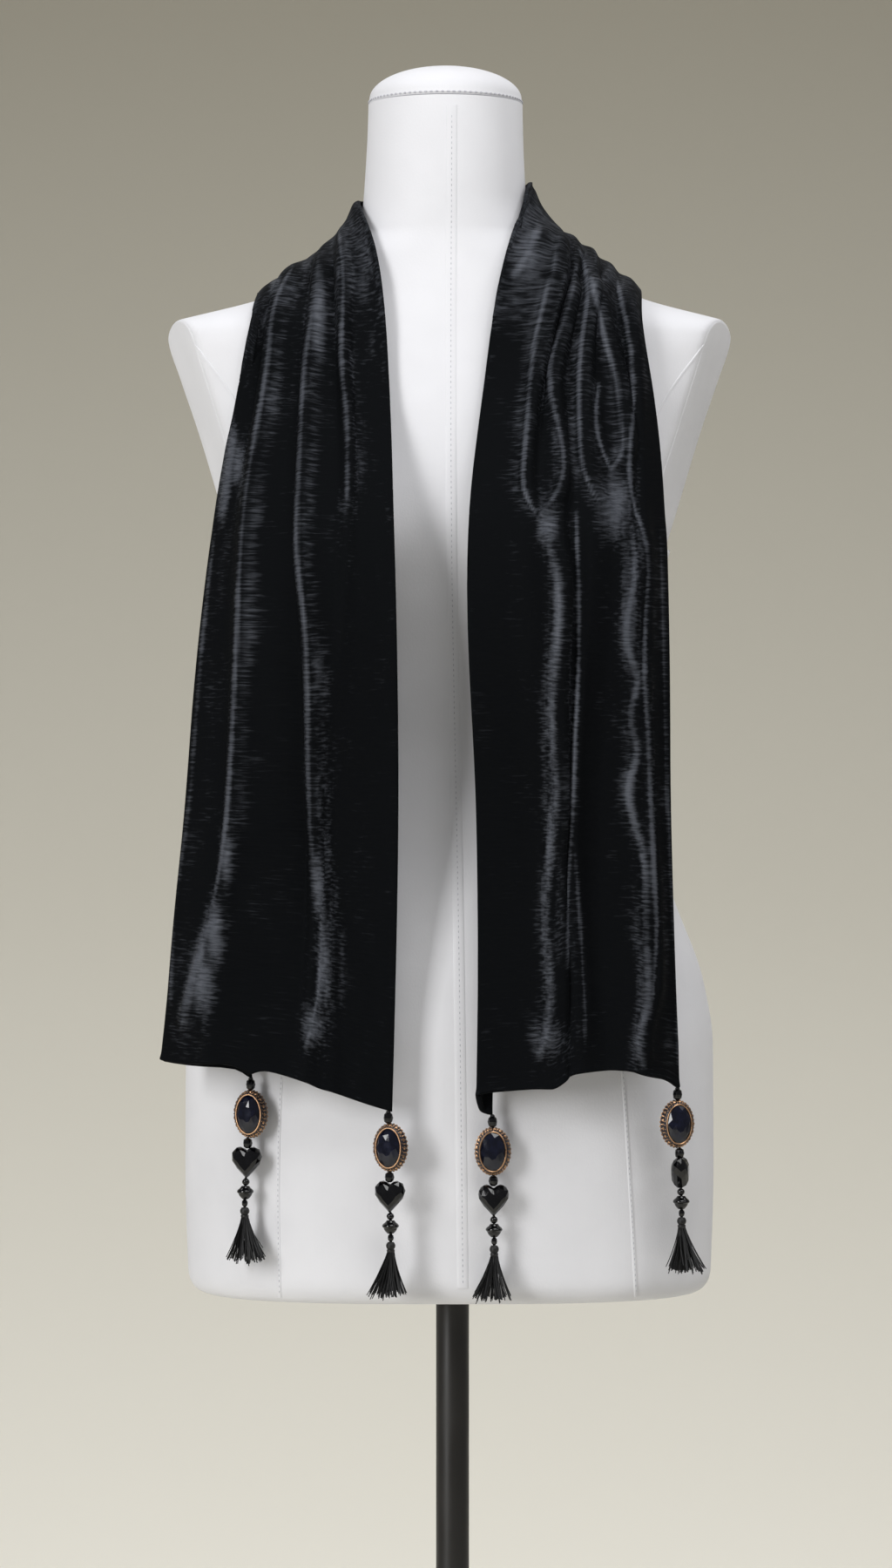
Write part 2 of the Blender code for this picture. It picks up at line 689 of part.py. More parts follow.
def bead_profile(height, radius, belly=0.62):
    """A bead's outline: flat ends round its thread hole, and a belly as long as belly of its height."""
    half = height / 2
    return [
        (0.0, half),
        (BEAD_HOLE, half),
        (radius * 0.86, half * belly * 0.9),
        (radius, 0.0),
        (radius * 0.86, -half * belly * 0.9),
        (BEAD_HOLE, -half),
        (0.0, -half),
    ]


def saucer_profile():
    """A disc with a round rim over a small cone."""
    half = SAUCER_HEIGHT / 2
    return [
        (0.0, half),
        (1.8, half),
        (2.6, half - 1.3),
        (SAUCER_RADIUS - 0.4, half - 2.0),
        (SAUCER_RADIUS, half - 2.8),
        (SAUCER_RADIUS - 0.5, half - 3.6),
        (3.7, half - 4.6),
        (3.2, half - 6.0),
        (1.8, -half),
        (0.0, -half),
    ]


def heart_outline(count, scale):
    """Points round a heart: x follows sin cubed, and z the usual sum of cosines, fitted to its size."""
    angles = (np.arange(count) + 0.5) * 2 * math.pi / count
    x = np.sin(angles) ** 3
    z = (13 * np.cos(angles) - 4 * np.cos(2 * angles) - 2 * np.cos(3 * angles) - np.cos(4 * angles)) / 29
    lowest, highest = z.min(), z.max()
    z = (z - (lowest + highest) / 2) / (highest - lowest)
    return x * HEART_WIDTH / 2 * scale, z * HEART_HEIGHT * scale


def build_heart(name, material, collection, location, turn):
    count = 20
    half = HEART_DEPTH / 2
    rings = ((0.55, -half), (1.0, -half * 0.42), (1.0, half * 0.42), (0.55, half))
    points = []
    for scale, depth in rings:
        x, z = heart_outline(count, scale)
        points += [(a, depth, b) for a, b in zip(x, z)]
    mesh = mesh_from(name, points, loop_faces(len(rings), count))
    face_outwards(mesh)
    obj = place_mesh(name, mesh, material, collection, location)
    obj.rotation_euler.z = math.radians(turn)


def strand_bundle(name, lean, helpers, location):
    """The free threads of a tassel: three-sided, rooted in its cone, spreading towards their tips."""
    points, faces = [], []
    root = -TASSEL_HEAD - TASSEL_CONE + 1.5
    tip = -TASSEL_HEAD - TASSEL_SKIRT
    fan = TASSEL_SKIRT_RADIUS / STRAND_RINGS[-1][1]
    for ring, (count, radius) in enumerate(STRAND_RINGS):
        for index in range(count):
            angle = 2 * math.pi * (index + 0.37 * ring) / count
            short = 1.6 * abs(math.sin(2.3 * index + ring))
            start = len(points)
            for share in (0.0, 0.5, 1.0):
                spread = radius * (1 + (fan - 1) * (0.9 * share + 0.1 * share**2))
                z = root + (tip + short - root) * share
                x = spread * math.cos(angle) + lean * (TASSEL_HEAD + z)
                y = spread * math.sin(angle)
                for corner in range(3):
                    turn = angle + 2 * math.pi * corner / 3
                    points.append((x + STRAND_RADIUS * math.cos(turn), y + STRAND_RADIUS * math.sin(turn), z))
            faces += [tuple(start + corner for corner in face) for face in loop_faces(3, 3)]
    mesh = mesh_from(name, points, faces)
    face_outwards(mesh)
    return place_helper(name, mesh, helpers, location)


def build_tassel(name, material, collection, helpers, location, lean):
    """A bound head and neck over a cone of threads, with the free threads joined to the cone's flat end."""
    neck = -TASSEL_HEAD
    end = neck - TASSEL_CONE
    profile = [
        (0.0, 0.0),
        (1.6, 0.0),
        (TASSEL_HEAD_RADIUS * 0.9, neck * 0.22),
        (TASSEL_HEAD_RADIUS, neck * 0.5),
        (TASSEL_NECK_RADIUS, neck),
        (TASSEL_NECK_RADIUS + 0.5, neck - 1.5),
        (TASSEL_CONE_RADIUS, end),
        (0.0, end),
    ]
    sides = 12
    angles = np.arange(sides) * 2 * math.pi / sides
    points = [
        (radius * math.cos(angle) + lean * min(height - neck, 0.0), radius * math.sin(angle), height)
        for radius, height in profile[1:-1]
        for angle in angles
    ]
    obj = place_mesh(
        name, mesh_from(name, points, loop_faces(len(profile) - 2, sides)), material, collection, location
    )
    face_outwards(obj.data)
    add_boolean(obj, strand_bundle(name + "_strands", lean, helpers, location), "UNION")


def build_cameo(prefix, materials, collection, location, turn):
    """An oval bezel with a sloping rim and a raised ring, and the dark stone that sits in its recess."""
    half = CAMEO_DEPTH / 2
    ring_x, ring_z = CAMEO_RING
    recess_x, recess_z = CAMEO_RECESS
    frame = (
        (CAMEO_HALF_WIDTH - 2.6, CAMEO_HALF_HEIGHT - 2.6, -half),
        (CAMEO_HALF_WIDTH - 0.3, CAMEO_HALF_HEIGHT - 0.3, -half + 1.6),
        (CAMEO_HALF_WIDTH, CAMEO_HALF_HEIGHT, -half + 3.2),
        (ring_x + 0.4, ring_z + 0.4, half - 1.6),
        (ring_x, ring_z, half - 0.6),
        (recess_x, recess_z, half - 0.6),
        (recess_x - 0.2, recess_z - 0.2, 0.6),
    )
    oval_turned(prefix + "_cameo_frame", frame, 18, materials["gold"], collection, location, turn)
    floor = 0.6 + FIT
    stone = (
        (recess_x - 0.6, recess_z - 0.6, floor),
        (recess_x - 0.4, recess_z - 0.4, half - 0.6),
        (recess_x * 0.62, recess_z * 0.66, half + 1.2),
        (recess_x * 0.2, recess_z * 0.3, half + 1.9),
    )
    oval_turned(prefix + "_cameo_stone", stone, 12, materials["stone"], collection, location, turn)


def build_pendant(row, materials, collection, helpers):
    """The chain of beads under one corner, stacked down from the cloth with a fitting gap between them."""
    name, x, y, top, turn, lean, tassel_lean = row
    prefix = "pendant_" + name
    height = top - FIT

    def place(size):
        nonlocal height
        middle = height - size / 2
        height -= size + FIT
        return (x + lean * (top - middle), y, middle)

    def bead(suffix, size, profile, sides):
        spot = place(size)
        turned(f"{prefix}_{suffix}", profile, sides, materials["jet"], collection, spot)

    bead("top_bead", TOP_BEAD[0], bead_profile(*TOP_BEAD), 8)
    build_cameo(prefix, materials, collection, place(2 * CAMEO_HALF_HEIGHT), turn)
    bead("middle_bead", MIDDLE_BEAD[0], bead_profile(*MIDDLE_BEAD), 8)
    heart_turn = 82.0 if name == HEART_EDGE_ON else turn * 0.6
    heart_place = place(HEART_HEIGHT - HEART_NOTCH)
    heart_place = (heart_place[0], heart_place[1], heart_place[2] + HEART_NOTCH / 2)
    build_heart(prefix + "_heart_bead", materials["jet"], collection, heart_place, heart_turn)
    bead("round_bead", ROUND_BEAD[0], bead_profile(*ROUND_BEAD), 8)
    bead("saucer_bead", SAUCER_HEIGHT, saucer_profile(), 12)
    bead("end_bead", END_BEAD[0], bead_profile(*END_BEAD), 8)
    spot = (x + lean * (top - height), y, height)
    build_tassel(prefix + "_tassel", materials["thread"], collection, helpers, spot, -tassel_lean)


def main():
    clear_scene()
    collection = new_collection("velvet_scarf_on_dress_form")
    helpers = new_collection("cutters_and_strands")
    jersey = make_material("form_jersey", (0.78, 0.78, 0.78), 0.85)
    cap = make_material("form_cap", (0.84, 0.83, 0.82), 0.7)
    painted = make_material("stand_paint", (0.02, 0.02, 0.022), 0.45)
    velvet = make_material("velvet", (0.006, 0.006, 0.008), 0.55)
    beads = {
        "jet": make_material("jet_glass", (0.006, 0.006, 0.007), 0.08),
        "gold": make_material("antique_gold", (0.45, 0.27, 0.13), 0.35, 1.0),
        "stone": make_material("navy_stone", (0.008, 0.012, 0.04), 0.05),
        "thread": make_material("tassel_thread", (0.01, 0.01, 0.011), 0.6),
    }
    build_stand(painted, collection)
    build_torso(jersey, collection, helpers)
    build_neck_cap(cap, collection)
    build_arm_cap("arm_cap_left", -1, jersey, collection)
    build_arm_cap("arm_cap_right", 1, jersey, collection)
    build_scarf(velvet, collection)
    for row in PENDANTS:
        build_pendant(row, beads, collection, helpers)


main()
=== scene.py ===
"""Looks for a gathered velvet scarf, with a bead-and-tassel pendant on each corner, on a limbless dress form.

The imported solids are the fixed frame. Each piece here is a finer surface in the place of one or more of
them. Tables and formulas are in millimetres, with +Z up and the front facing -Y, and MM turns them to
metres. Settings hold metres, as Blender's own fields do.
"""

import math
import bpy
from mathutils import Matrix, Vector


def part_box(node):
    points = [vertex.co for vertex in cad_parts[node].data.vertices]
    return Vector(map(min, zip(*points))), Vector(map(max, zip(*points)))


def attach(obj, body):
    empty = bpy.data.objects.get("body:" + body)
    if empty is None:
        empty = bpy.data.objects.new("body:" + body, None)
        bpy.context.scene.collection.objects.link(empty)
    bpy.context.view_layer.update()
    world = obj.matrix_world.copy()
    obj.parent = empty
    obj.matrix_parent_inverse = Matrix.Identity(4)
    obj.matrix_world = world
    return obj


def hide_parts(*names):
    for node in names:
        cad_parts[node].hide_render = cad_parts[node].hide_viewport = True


bl_info = {
    "name": "Velvet Scarf Looks",
    "version": (1, 0, 0),
    "blender": (4, 5, 0),
    "location": "3D View > Sidebar > Velvet Scarf",
    "description": "Builds the visible surfaces of a velvet scarf and its dress form round their solids",
    "category": "Object",
}

import bpy
import numpy as np
from bpy.props import FloatProperty, FloatVectorProperty, IntProperty, PointerProperty
from bpy.types import Operator, Panel, PropertyGroup
from mathutils import Vector

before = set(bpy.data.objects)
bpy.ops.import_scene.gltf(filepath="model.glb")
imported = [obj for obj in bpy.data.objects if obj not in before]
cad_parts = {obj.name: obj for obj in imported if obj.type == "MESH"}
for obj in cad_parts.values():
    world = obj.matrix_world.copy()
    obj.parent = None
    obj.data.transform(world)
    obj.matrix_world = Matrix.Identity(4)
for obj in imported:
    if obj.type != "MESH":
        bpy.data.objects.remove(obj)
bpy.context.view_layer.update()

MM = 0.001
BODY = "root"

# Dress form, as its solids have it
FORM_FLOOR = 678.0
FORM_FLOOR_ROUND = 16.0
NECK_TOP = 1453.0
ARM_PLATE = 3.0
ARM_ROUND = 3.0
ARM_HALF_WIDTH = 182.0
ARM_TOP = 1310.0
ARM_LEAN = 0.29
ARM_TURN = 0.27
ARM_BACK = 10.0
ARM_FLOOR = 1165.0
ARM_STEP_TALL = 30.0
ARM_STEP_WIDTH = 80.0
ARM_CENTRE = (3.0, 1245.0)
ARM_INSET = 2.5
ARM_PLATE_PROUD = 0.6
# Soft edge of an armhole plate: how far each ring is below its face and inside its outline
ARM_PLATE_EDGE = ((ARM_PLATE, 0.0), (1.4, 0.0), (0.7, 0.25), (0.2, 0.8), (0.0, 1.8), (0.0, 20.0))
# Where the edges of its armhole faces are, and over how far points are closer, in degrees from the side
ARM_EDGE_ANGLES = (22, 16)
ARM_EDGE_FINENESS = 1.4
BUST_HEIGHT = 1172.0
BUST_SPREAD = 78.0
BUST_RISE = 28.0
BUST_WIDTH = 40.0
BUST_TALL = 50.0
SHOULDER_ZONE = (1300.0, 1402.0)
SHOULDER_FINENESS = 4.0
ARM_ZONE = (1120.0, 1300.0)
ARM_FINENESS = 1.6

# Columns: height, half width, depth in front, depth behind, middle, squareness
FORM_SECTIONS = (
    (660, 170, 97, 99, 0, 2.4),
    (760, 172.5, 99, 106, 0, 2.4),
    (840, 172, 98, 112, 0, 2.4),
    (880, 166, 94, 108, 0, 2.35),
    (930, 148, 85, 96, 0, 2.3),
    (980, 129, 75, 82, 0, 2.25),
    (1030, 118, 70, 76, 0, 2.2),
    (1080, 121, 74, 80, 0, 2.2),
    (1130, 134, 83, 88, 0, 2.2),
    (1180, 151, 90, 95, 0, 2.2),
    (1240, 171, 82, 97, 0, 2.15),
    (1280, 190, 71, 92, 0, 2.1),
    (1301, 203, 64, 85, 0, 2.05),
    (1328, 120.0, 57, 72, 2.0, 2.0),
    (1351, 88.5, 52, 63, 1.0, 2.0),
    (1369, 60, 50, 56, -1.5, 2.0),
    (1391, 53.2, 50, 52, -3, 2.0),
    (1460, 50.4, 49, 51, -2.6, 2.0),
)

# Each seam of the jersey cover: on the front (-1) or back (1), and its route as (height, place across) points
SEAM_COLUMNS = ("name", "side", "half_width", "raise", "stitched", "route")
FORM_SEAMS = (
    ("centre front", -1, 3.6, 0.45, 1, (
        (1446, 1.5), (1330, 1.0), (1150, 1.5), (960, 5.0), (820, 7.0), (690, 8.5),
    )),
    ("centre back", 1, 3.6, 0.45, 1, ((1446, -3.0), (1330, -2.0), (1150, 0.0), (960, 0.0), (690, 0.0))),
    ("princess front left", -1, 1.1, 0.45, 1, (
        (1318, -92), (1180, -76), (1030, -66), (900, -96), (800, -108), (682, -108),
    )),
    ("princess front right", -1, 1.1, 0.45, 1, (
        (1318, 92), (1180, 76), (1030, 66), (900, 100), (800, 112), (682, 119),
    )),
    ("armhole left", -1, 0.9, 0.4, 0, ((1302, -172), (1284, -158), (1262, -142), (1230, -126))),
    ("armhole right", -1, 0.9, 0.4, 0, ((1302, 172), (1284, 158), (1262, 142), (1230, 126))),
    ("princess back left", 1, 1.1, 0.35, 1, ((1318, -92), (1180, -76), (1030, -62), (900, -82), (690, -90))),
    ("princess back right", 1, 1.1, 0.35, 1, ((1318, 92), (1180, 76), (1030, 62), (900, 82), (690, 90))),
)
SEAM_STEP = 3.0
SEAM_BURIED = 1.0
# Section of a seam: shares of its half width across, and of its height out
SEAM_SECTION = ((-1.0, -0.96, -0.8, -0.3, 0.3, 0.8, 0.96, 1.0), (-0.5, 0.3, 0.85, 1.0, 1.0, 0.85, 0.3, -0.5))
SEAM_END = 4
STITCH_PITCH = 3.4
STITCH_PROUD = 0.05
# Half width, half length and half height of a stitch
STITCH_SIZE = (0.28, 0.9, 0.2)
CAP_STITCH_PITCH = 3.6
# Half length, half width and half height of the larger stitches round the cap
CAP_STITCH_SIZE = (1.15, 0.7, 0.45)
CAP_RIM_SHARE = 0.14

# Stand: each node's (radius, height) profile as shares of its size, and how far its corners are rounded
STAND_PROFILES = (
    ("stand_base", ((0, 1), (0.93, 1), (1, 0.62), (1, 0), (0, 0)), 2.0),
    ("stand_collar", ((0, 1), (0.68, 1), (0.9, 0.16), (1, 0.12), (1, 0), (0, 0)), 1.6),
    ("stand_pole", ((0, 1), (1, 1), (1, 0), (0, 0)), 0.6),
)

# Scarf, as its solids have it
HEM, WAIST, BUST, CHEST, YOKE, SHOULDER = range(6)
LEVEL_HEIGHTS = {WAIST: 1009.0, BUST: 1180.0, CHEST: 1265.0}
YOKE_HEIGHTS = (1350.0, 1308.0)
SHOULDER_Y = (-12.0, 6.0)
# Each level of the drape: how far forward its middle is, and how far back its sides curve
DRAPE = {HEM: (118, 18), WAIST: (119, 24), BUST: (121, 58)}
WRAP_START = 60.0
WRAP_SPAN = 90.0
# Each row is one line of the cloth from hem to shoulder, from the inner long edge to the outer one.
# x_* is its place across, out_* its height above the plain drape, or above the form at chest and yoke,
# and z_* its height above the floor.
FOLD_COLUMNS = (
    "name", "x_hem", "x_waist", "x_bust", "x_chest", "x_yoke", "x_top",
    "out_hem", "out_waist", "out_bust", "out_chest", "out_yoke", "z_hem", "z_top",
)
LEFT_FOLDS = (
    ("inner edge", -36, -32, -35, -38, -45, -58, 2, 4, 3, 8, 8, 803, 1386),
    ("inner flat", -50, -47, -44, -48, -50, -61, 0, 1, 1, 7, 6, 807, 1385),
    ("middle flat", -65, -62, -57, -60, -60, -65, -1, 0, 0, 7, 6, 812, 1379),
    ("ridge three", -74, -71, -64, -66, -67, -69, 1, 0, 2, 11, 11, 815, 1373),
    ("valley three", -82, -78, -72, -72, -72, -74, 2, 2, -1, 6, 6, 817, 1367),
    ("ridge two", -90, -85, -92, -88, -83, -80, 4, 5, 6, 11, 10, 820, 1362),
    ("valley two", -100, -90, -97, -93, -87, -85, 2, -2, -1, 5, 6, 822, 1357),
    ("middle plate", -128, -112, -112, -103, -95, -91, 6, 2, 1, 7, 8, 826, 1352),
    ("ridge one", -152, -136, -131, -117, -108, -98, 12, 9, 6, 11, 11, 830, 1348),
    ("valley one", -164, -142, -136, -121, -111, -103, 8, 3, 0, 5, 6, 831, 1342),
    ("outer strip", -176, -153, -145, -128, -117, -109, 3, 2, 1, 7, 7, 832, 1339),
    ("outer fold", -183, -166, -150, -132, -123, -116, -3, -2, -1, 6, 6, 833, 1333),
    ("fold behind", -182, -164, -148, -131, -124, -120, -8, -7, -6, 5, 5, 832, 1330),
    ("flap edge", -125, -143, -139, -127, -122, -123, -18, -10, -8, 3, 3, 822, 1327),
)
RIGHT_FOLDS = (
    ("flap edge", 27, 28, 24, 31, 43, 50, -9, -8, -7, 3, 3, 800, 1399),
    ("fold behind", 21, 19, 15, 25, 37, 52, -7, -6, -5, 5, 5, 802, 1397),
    ("inner fold", 18, 17, 13, 23, 35, 54, 0, 0, 0, 7, 7, 813, 1394),
    ("inner flat", 40, 42, 33, 40, 52, 60, -1, -1, 0, 7, 7, 816, 1385),
    ("ridge a", 56, 57, 48, 56, 71, 70, 0, 1, 4, 11, 11, 817, 1373),
    ("pocket", 64, 65, 58, 61, 75, 74, 2, 3, 1, 6, 6, 817, 1369),
    ("ridge b", 72, 71, 69, 67, 78, 80, 3, 6, 4, 11, 10, 821, 1367),
    ("valley b", 76, 75, 76, 75, 82, 86, 1, 2, -1, 6, 6, 825, 1361),
    ("ridge c", 83, 79, 89, 85, 91, 92, 3, 4, 3, 12, 12, 827, 1359),
    ("valley c", 100, 96, 101, 93, 94, 97, -2, -2, 1, 6, 6, 828, 1353),
    ("ridge d", 114, 113, 110, 109, 98, 105, 2, 2, 3, 9, 9, 826, 1349),
    ("valley d", 121, 123, 116, 113, 106, 110, 4, 5, 1, 6, 6, 823, 1342),
    ("ridge e", 129, 128, 122, 117, 115, 115, 2, 3, 4, 10, 10, 820, 1339),
    ("outer edge", 146, 139, 137, 128, 122, 123, -10, 0, 0, 4, 5, 816, 1331),
)
NAPE_TOP = 1397.0
NAPE_DROP = 150.0
NAPE_FOLDS = (3, 6, 8, 5, 7, 5, 8, 5, 8, 5, 7, 5, 6, 3)
QUARTER_IN = 0.7
QUARTER_RISE = 0.5
# Least gaps between the cloth's middle and the form, before and after its creases, and the most that one
# round of keeping clear moves a point
CLOTH_CLEAR = 2.5
CLOTH_LEAST = 1.2
CLEAR_STEP = 12.0
# Slow waves of hanging velvet: lengths down and across, turn from panel to panel, and height. The swell has
# a start in place of its turn.
FLUTTER_PITCH = 11.0
FLUTTER_WAVES = ((47, 31, 1, 0.35), (23, -17, 2.1, 0.2))
FLUTTER_SWELL = (71, 9, 0.7, 0.3)
FLUTTER_SHARE = 0.6
FLUTTER_ROOM = 0.8
# Gloss of the pile and its painted sheen, a lighter base colour standing for light caught on the velvet:
# its least share, what is added at the shoulders as painted light, and between which heights
GLOSS_AND_PAINTED_SHEEN_BASE = -0.1
GLOSS_AND_PAINTED_SHEEN_SHOULDER = 0.55
GLOSS_AND_PAINTED_SHEEN_HEIGHTS = (1190.0, 1370.0)
# Along each crease the gloss and the painted highlight on its lit slope wax and wane: its greatest
# strength, its change, and the length of a wave
GLOSS_AND_PAINTED_SHEEN_CORE = (1.0, 0.2, 29.0)
# Beside each crease the pile is glossier too, with a fainter painted highlight: how far aside, how wide,
# how strongly, and from which height on
GLOSS_AND_PAINTED_SHEEN_SKIRT = (5.5, 6.5, 0.4, 2.6)
# Patches of gloss and painted highlight. Columns: panel, place across, height, half width, half height,
# strength
GLOSS_AND_PAINTED_SHEEN_PATCHES = (
    (-1, -84, 1312, 6, 40, 0.9),
    (-1, -112, 1332, 7, 12, 0.7),
    (-1, -134, 1212, 6, 20, 0.8),
    (-1, -126, 1100, 6, 90, 0.3),
    (-1, -140, 958, 5, 26, 0.8),
    (-1, -148, 918, 7, 26, 0.95),
    (-1, -156, 882, 9, 22, 0.95),
    (-1, -79, 892, 6, 30, 0.85),
    (-1, -85, 858, 8, 16, 0.8),
    (-1, -170, 850, 12, 12, 0.4),
    (-1, -64, 1185, 7, 12, 0.4),
    (1, 53, 1350, 16, 20, 0.8),
    (1, 61, 1170, 7, 18, 0.95),
    (1, 104, 1184, 13, 24, 0.95),
    (1, 112, 1130, 7, 50, 0.7),
    (1, 62, 850, 12, 14, 0.7),
)
# Points of the hem over the outer top beads: how far it rises beside them, how wide and how tall they are,
# how many widths the rise spreads, and the power that draws out the point
CUSP_RISE = 5.0
CUSP_WIDTH = 6.0
CUSP_REACH = 26.0
CUSP_SPREAD = 5
CUSP_POINT = 1.4
# Width between two lines of the cloth, the lines beyond which creases end, and over how many lines they fade
LINE_PITCH = 14.2
OUTER_LINES_LEFT = 11.5
OUTER_LINES_RIGHT = 1.5
OUTER_FADE = 0.8

# Each crease of the fronts: its panel, left (-1) or right (1), how wide its left and right slopes are, its
# height, how long its ends take to fade, and its route as (height, place across) points
CREASE_COLUMNS = ("name", "panel", "rise", "fall", "height", "fade", "route")
CREASES = (
    ("long left ridge", -1, 3, 8, 2.6, 16, (
        (1343, -100), (1323, -109), (1287, -114), (1249, -119), (1186, -128), (1118, -132), (1025, -136),
        (943, -145), (874, -163), (855, -168),
    )),
    ("middle left ridge", -1, 3, 8, 2.6, 16, (
        (1350, -83), (1319, -85), (1291, -89), (1209, -93), (1157, -94), (1118, -90), (1040, -87), (962, -84),
        (892, -79), (845, -88),
    )),
    ("inner left ridge", -1, 2.6, 6, 2.0, 24, (
        (1368, -70), (1334, -67), (1275, -67), (1244, -64), (1190, -63),
    )),
    ("left hem swell", -1, 9, 6, 3.6, 30, ((925, -146), (894, -155), (858, -164))),
    ("left inner hem swell", -1, 8, 8, 2.2, 30, ((960, -80), (920, -76), (872, -78))),
    ("left chest swell", -1, 8, 6, 1.8, 26, ((1235, -134), (1210, -137), (1180, -141))),
    ("left outer edge", -1, 3, 5, 1.0, 30, (
        (1169, -148), (1081, -157), (989, -164), (931, -172), (874, -175),
    )),
    ("collar fold", 1, 9, 8, 3.0, 14, ((1368, 62), (1352, 56), (1334, 46))),
    ("rope left of the loop", 1, 2.6, 4, 2.6, 10, (
        (1363, 72), (1340, 68), (1315, 61), (1285, 55), (1244, 51), (1208, 48), (1192, 49), (1179, 55),
    )),
    ("rope right of the loop", 1, 3.5, 5, 3.0, 10, (
        (1330, 82), (1299, 73), (1280, 67), (1232, 71), (1192, 69), (1184, 64), (1176, 57),
    )),
    ("long ridge below the loop", 1, 7, 5, 3.6, 14, (
        (1169, 61), (1148, 69), (1097, 70), (1035, 68), (989, 69), (954, 65), (920, 64), (874, 67), (839, 61),
    )),
    ("fine ridge beside it", 1, 2.4, 4, 1.8, 24, (
        (1173, 81), (1127, 82), (1081, 82), (1035, 80), (977, 78), (943, 76), (897, 75),
    )),
    ("fine hem ridge", 1, 2.2, 4, 1.2, 24, ((966, 80), (931, 82), (890, 85), (851, 86))),
    ("middle rope", 1, 2.6, 5, 2.6, 12, (
        (1355, 85), (1334, 90), (1299, 87), (1265, 84), (1232, 84), (1208, 86), (1192, 92), (1176, 103),
    )),
    ("pocket right side", 1, 4, 4, 2.8, 10, (
        (1334, 93), (1292, 102), (1268, 108), (1232, 112), (1216, 110), (1208, 104),
    )),
    ("pocket left side", 1, 3, 4, 2.2, 10, ((1265, 97), (1244, 94), (1223, 97), (1209, 103))),
    ("outer ridge", 1, 3, 5, 2.0, 16, (
        (1332, 110), (1305, 115), (1256, 119), (1185, 118), (1173, 122), (1104, 124), (1035, 126), (966, 129),
        (920, 131), (874, 129),
    )),
    ("wavy band", 1, 6, 5, 3.2, 16, (
        (1173, 117), (1143, 119), (1091, 116), (1074, 121), (1053, 117), (1030, 121), (1007, 116), (977, 122),
        (948, 126), (908, 127), (867, 127), (851, 123), (832, 124),
    )),
    ("right outer edge", 1, 3, 5, 1.0, 24, ((1173, 135), (1058, 137), (966, 140), (897, 144), (835, 146))),
)

# Velvet: its roughness where the pile gleams and where it is dull, and its specular level
VELVET_ROUGHNESS = (0.25, 0.85)
VELVET_GRAZING_ROUGHNESS = 0.85
VELVET_SPECULAR = 0.13
# The sums of gloss share and patterns at which the pile is dull and black, and at which it is glossy and
# painted its full lighter sheen colour, a painted highlight
GLOSS_AND_PAINTED_SHEEN_RANGE = (0.64, 1.85)
# Patterns of the pile: cycles per metre across and along, roughness, the part of the pattern over which the
# pile leans, how far it leans aside as a slope, and how much it adds to the gloss and painted sheen at most,
# which feathers the painted highlights into streaks. The first is rows of leaning pile 9 mm wide and 1.5 mm
# tall, where real ones of a third of that are too fine to show. The second is stretches 14 mm wide and 45 mm
# tall where all the pile lies to one side.
PILE_PATTERNS = (
    ((110.0, 660.0, 1.0), 0.55, (0.25, 0.75), 0.2, 0.54),
    ((70.0, 22.0, 1.0), 0.5, (0.3, 0.7), 0.07, 0.36),
)

# Pendants, as their solids have them
# Cut pieces, by rows of facets: heights and radii of beads, scales and depths of the heart as shares, and
# scales and depths of the stone, the latter in millimetres
BEAD_ROWS = ((1.0, 0.68, 0.0, -0.68, -1.0), (0.42, 0.84, 1.0, 0.84, 0.42))
HEART_ROWS = ((0.52, 0.82, 1.0, 1.0, 0.82, 0.52), (-1.0, -0.72, -0.26, 0.26, 0.72, 1.0))
STONE_ROWS = ((0.97, 1.04, 0.76, 0.42), (0.7, 3.3, 4.9, 5.8))
# Angle from its axis at which a moulded bead's hole opens
BEAD_HOLE = 0.32
SAUCER_PROFILE = (
    (0.0, 1.0), (0.46, 1.0), (0.6, 0.72), (0.86, 0.46), (1.0, 0.26), (1.0, 0.02),
    (0.82, -0.16), (0.76, -0.42), (0.6, -0.7), (0.4, -0.94), (0.34, -1.0), (0.0, -1.0),
)
# Knots on the stringing: half sizes, how far above each bead, and how much larger the top one is
KNOT_SIZE = (0.9, 0.9, 0.75)
KNOT_RISE = 0.15
TOP_KNOT = 1.7
HEART_SIZE = (19.4, 19.8, 10.7)
HEART_MIDDLE = 0.0796
HEART_SPAN = 0.9029
TASSEL_HEAD = 6.2
# The cone of thread under the head: (radius, distance below it)
TASSEL_CONE = ((2.1, 0.6), (2.5, 3), (3.0, 8), (0, 9))
TASSEL_SKIRT = 27.5
TASSEL_SKIRT_RADIUS = 12.8
STRAND_RADIUS = 0.4
THREAD_WIND = 0.55
CAMEO_STONE = (7.7, 11.9)
RIM_SLOPE = 0.6
# Columns: half width, half height, depth towards the front
CAMEO_SECTION = (
    (4.0, 7.0, -4.3),
    (8.4, 12.2, -4.2),
    (10.5, 14.3, -3.2),
    (11.1, 14.9, -2.0),
    (11.2, 15.0, -1.1),
    (11.0, 14.8, -0.4),
    (10.4, 14.3, 0.9),
    (9.6, 13.6, 2.2),
    (9.2, 13.2, 2.7),
    (8.7, 12.8, 2.9),
    (7.9, 12.1, 2.9),
    (7.7, 11.9, 0.7),
)
# Columns: half width, half height and depth of the oval they follow, count, half sizes and phase
CAMEO_ORNAMENT = (
    (10.9, 14.7, -0.3, 34, (0.55, 0.5, 0.45)),
    (10.2, 14.1, 1.0, 17, (1.3, 0.75, 0.75)),
    (10.2, 14.1, 1.0, 17, (0.5, 1.0, 0.65), 0.5),
    (9.4, 13.4, 2.1, 34, (0.5, 0.35, 0.45), 0.25),
    (11.2, 15.0, -1.7, 34, (0.8, 0.6, 0.5), 0.5),
)
# Columns: half width, half height, depth and thickness of each wire
CAMEO_WIRES = ((8.35, 12.5, 3.1, 0.46),)

# Stage
BACKDROP_BACK = 2000.0
BACKDROP_BEND = 900.0
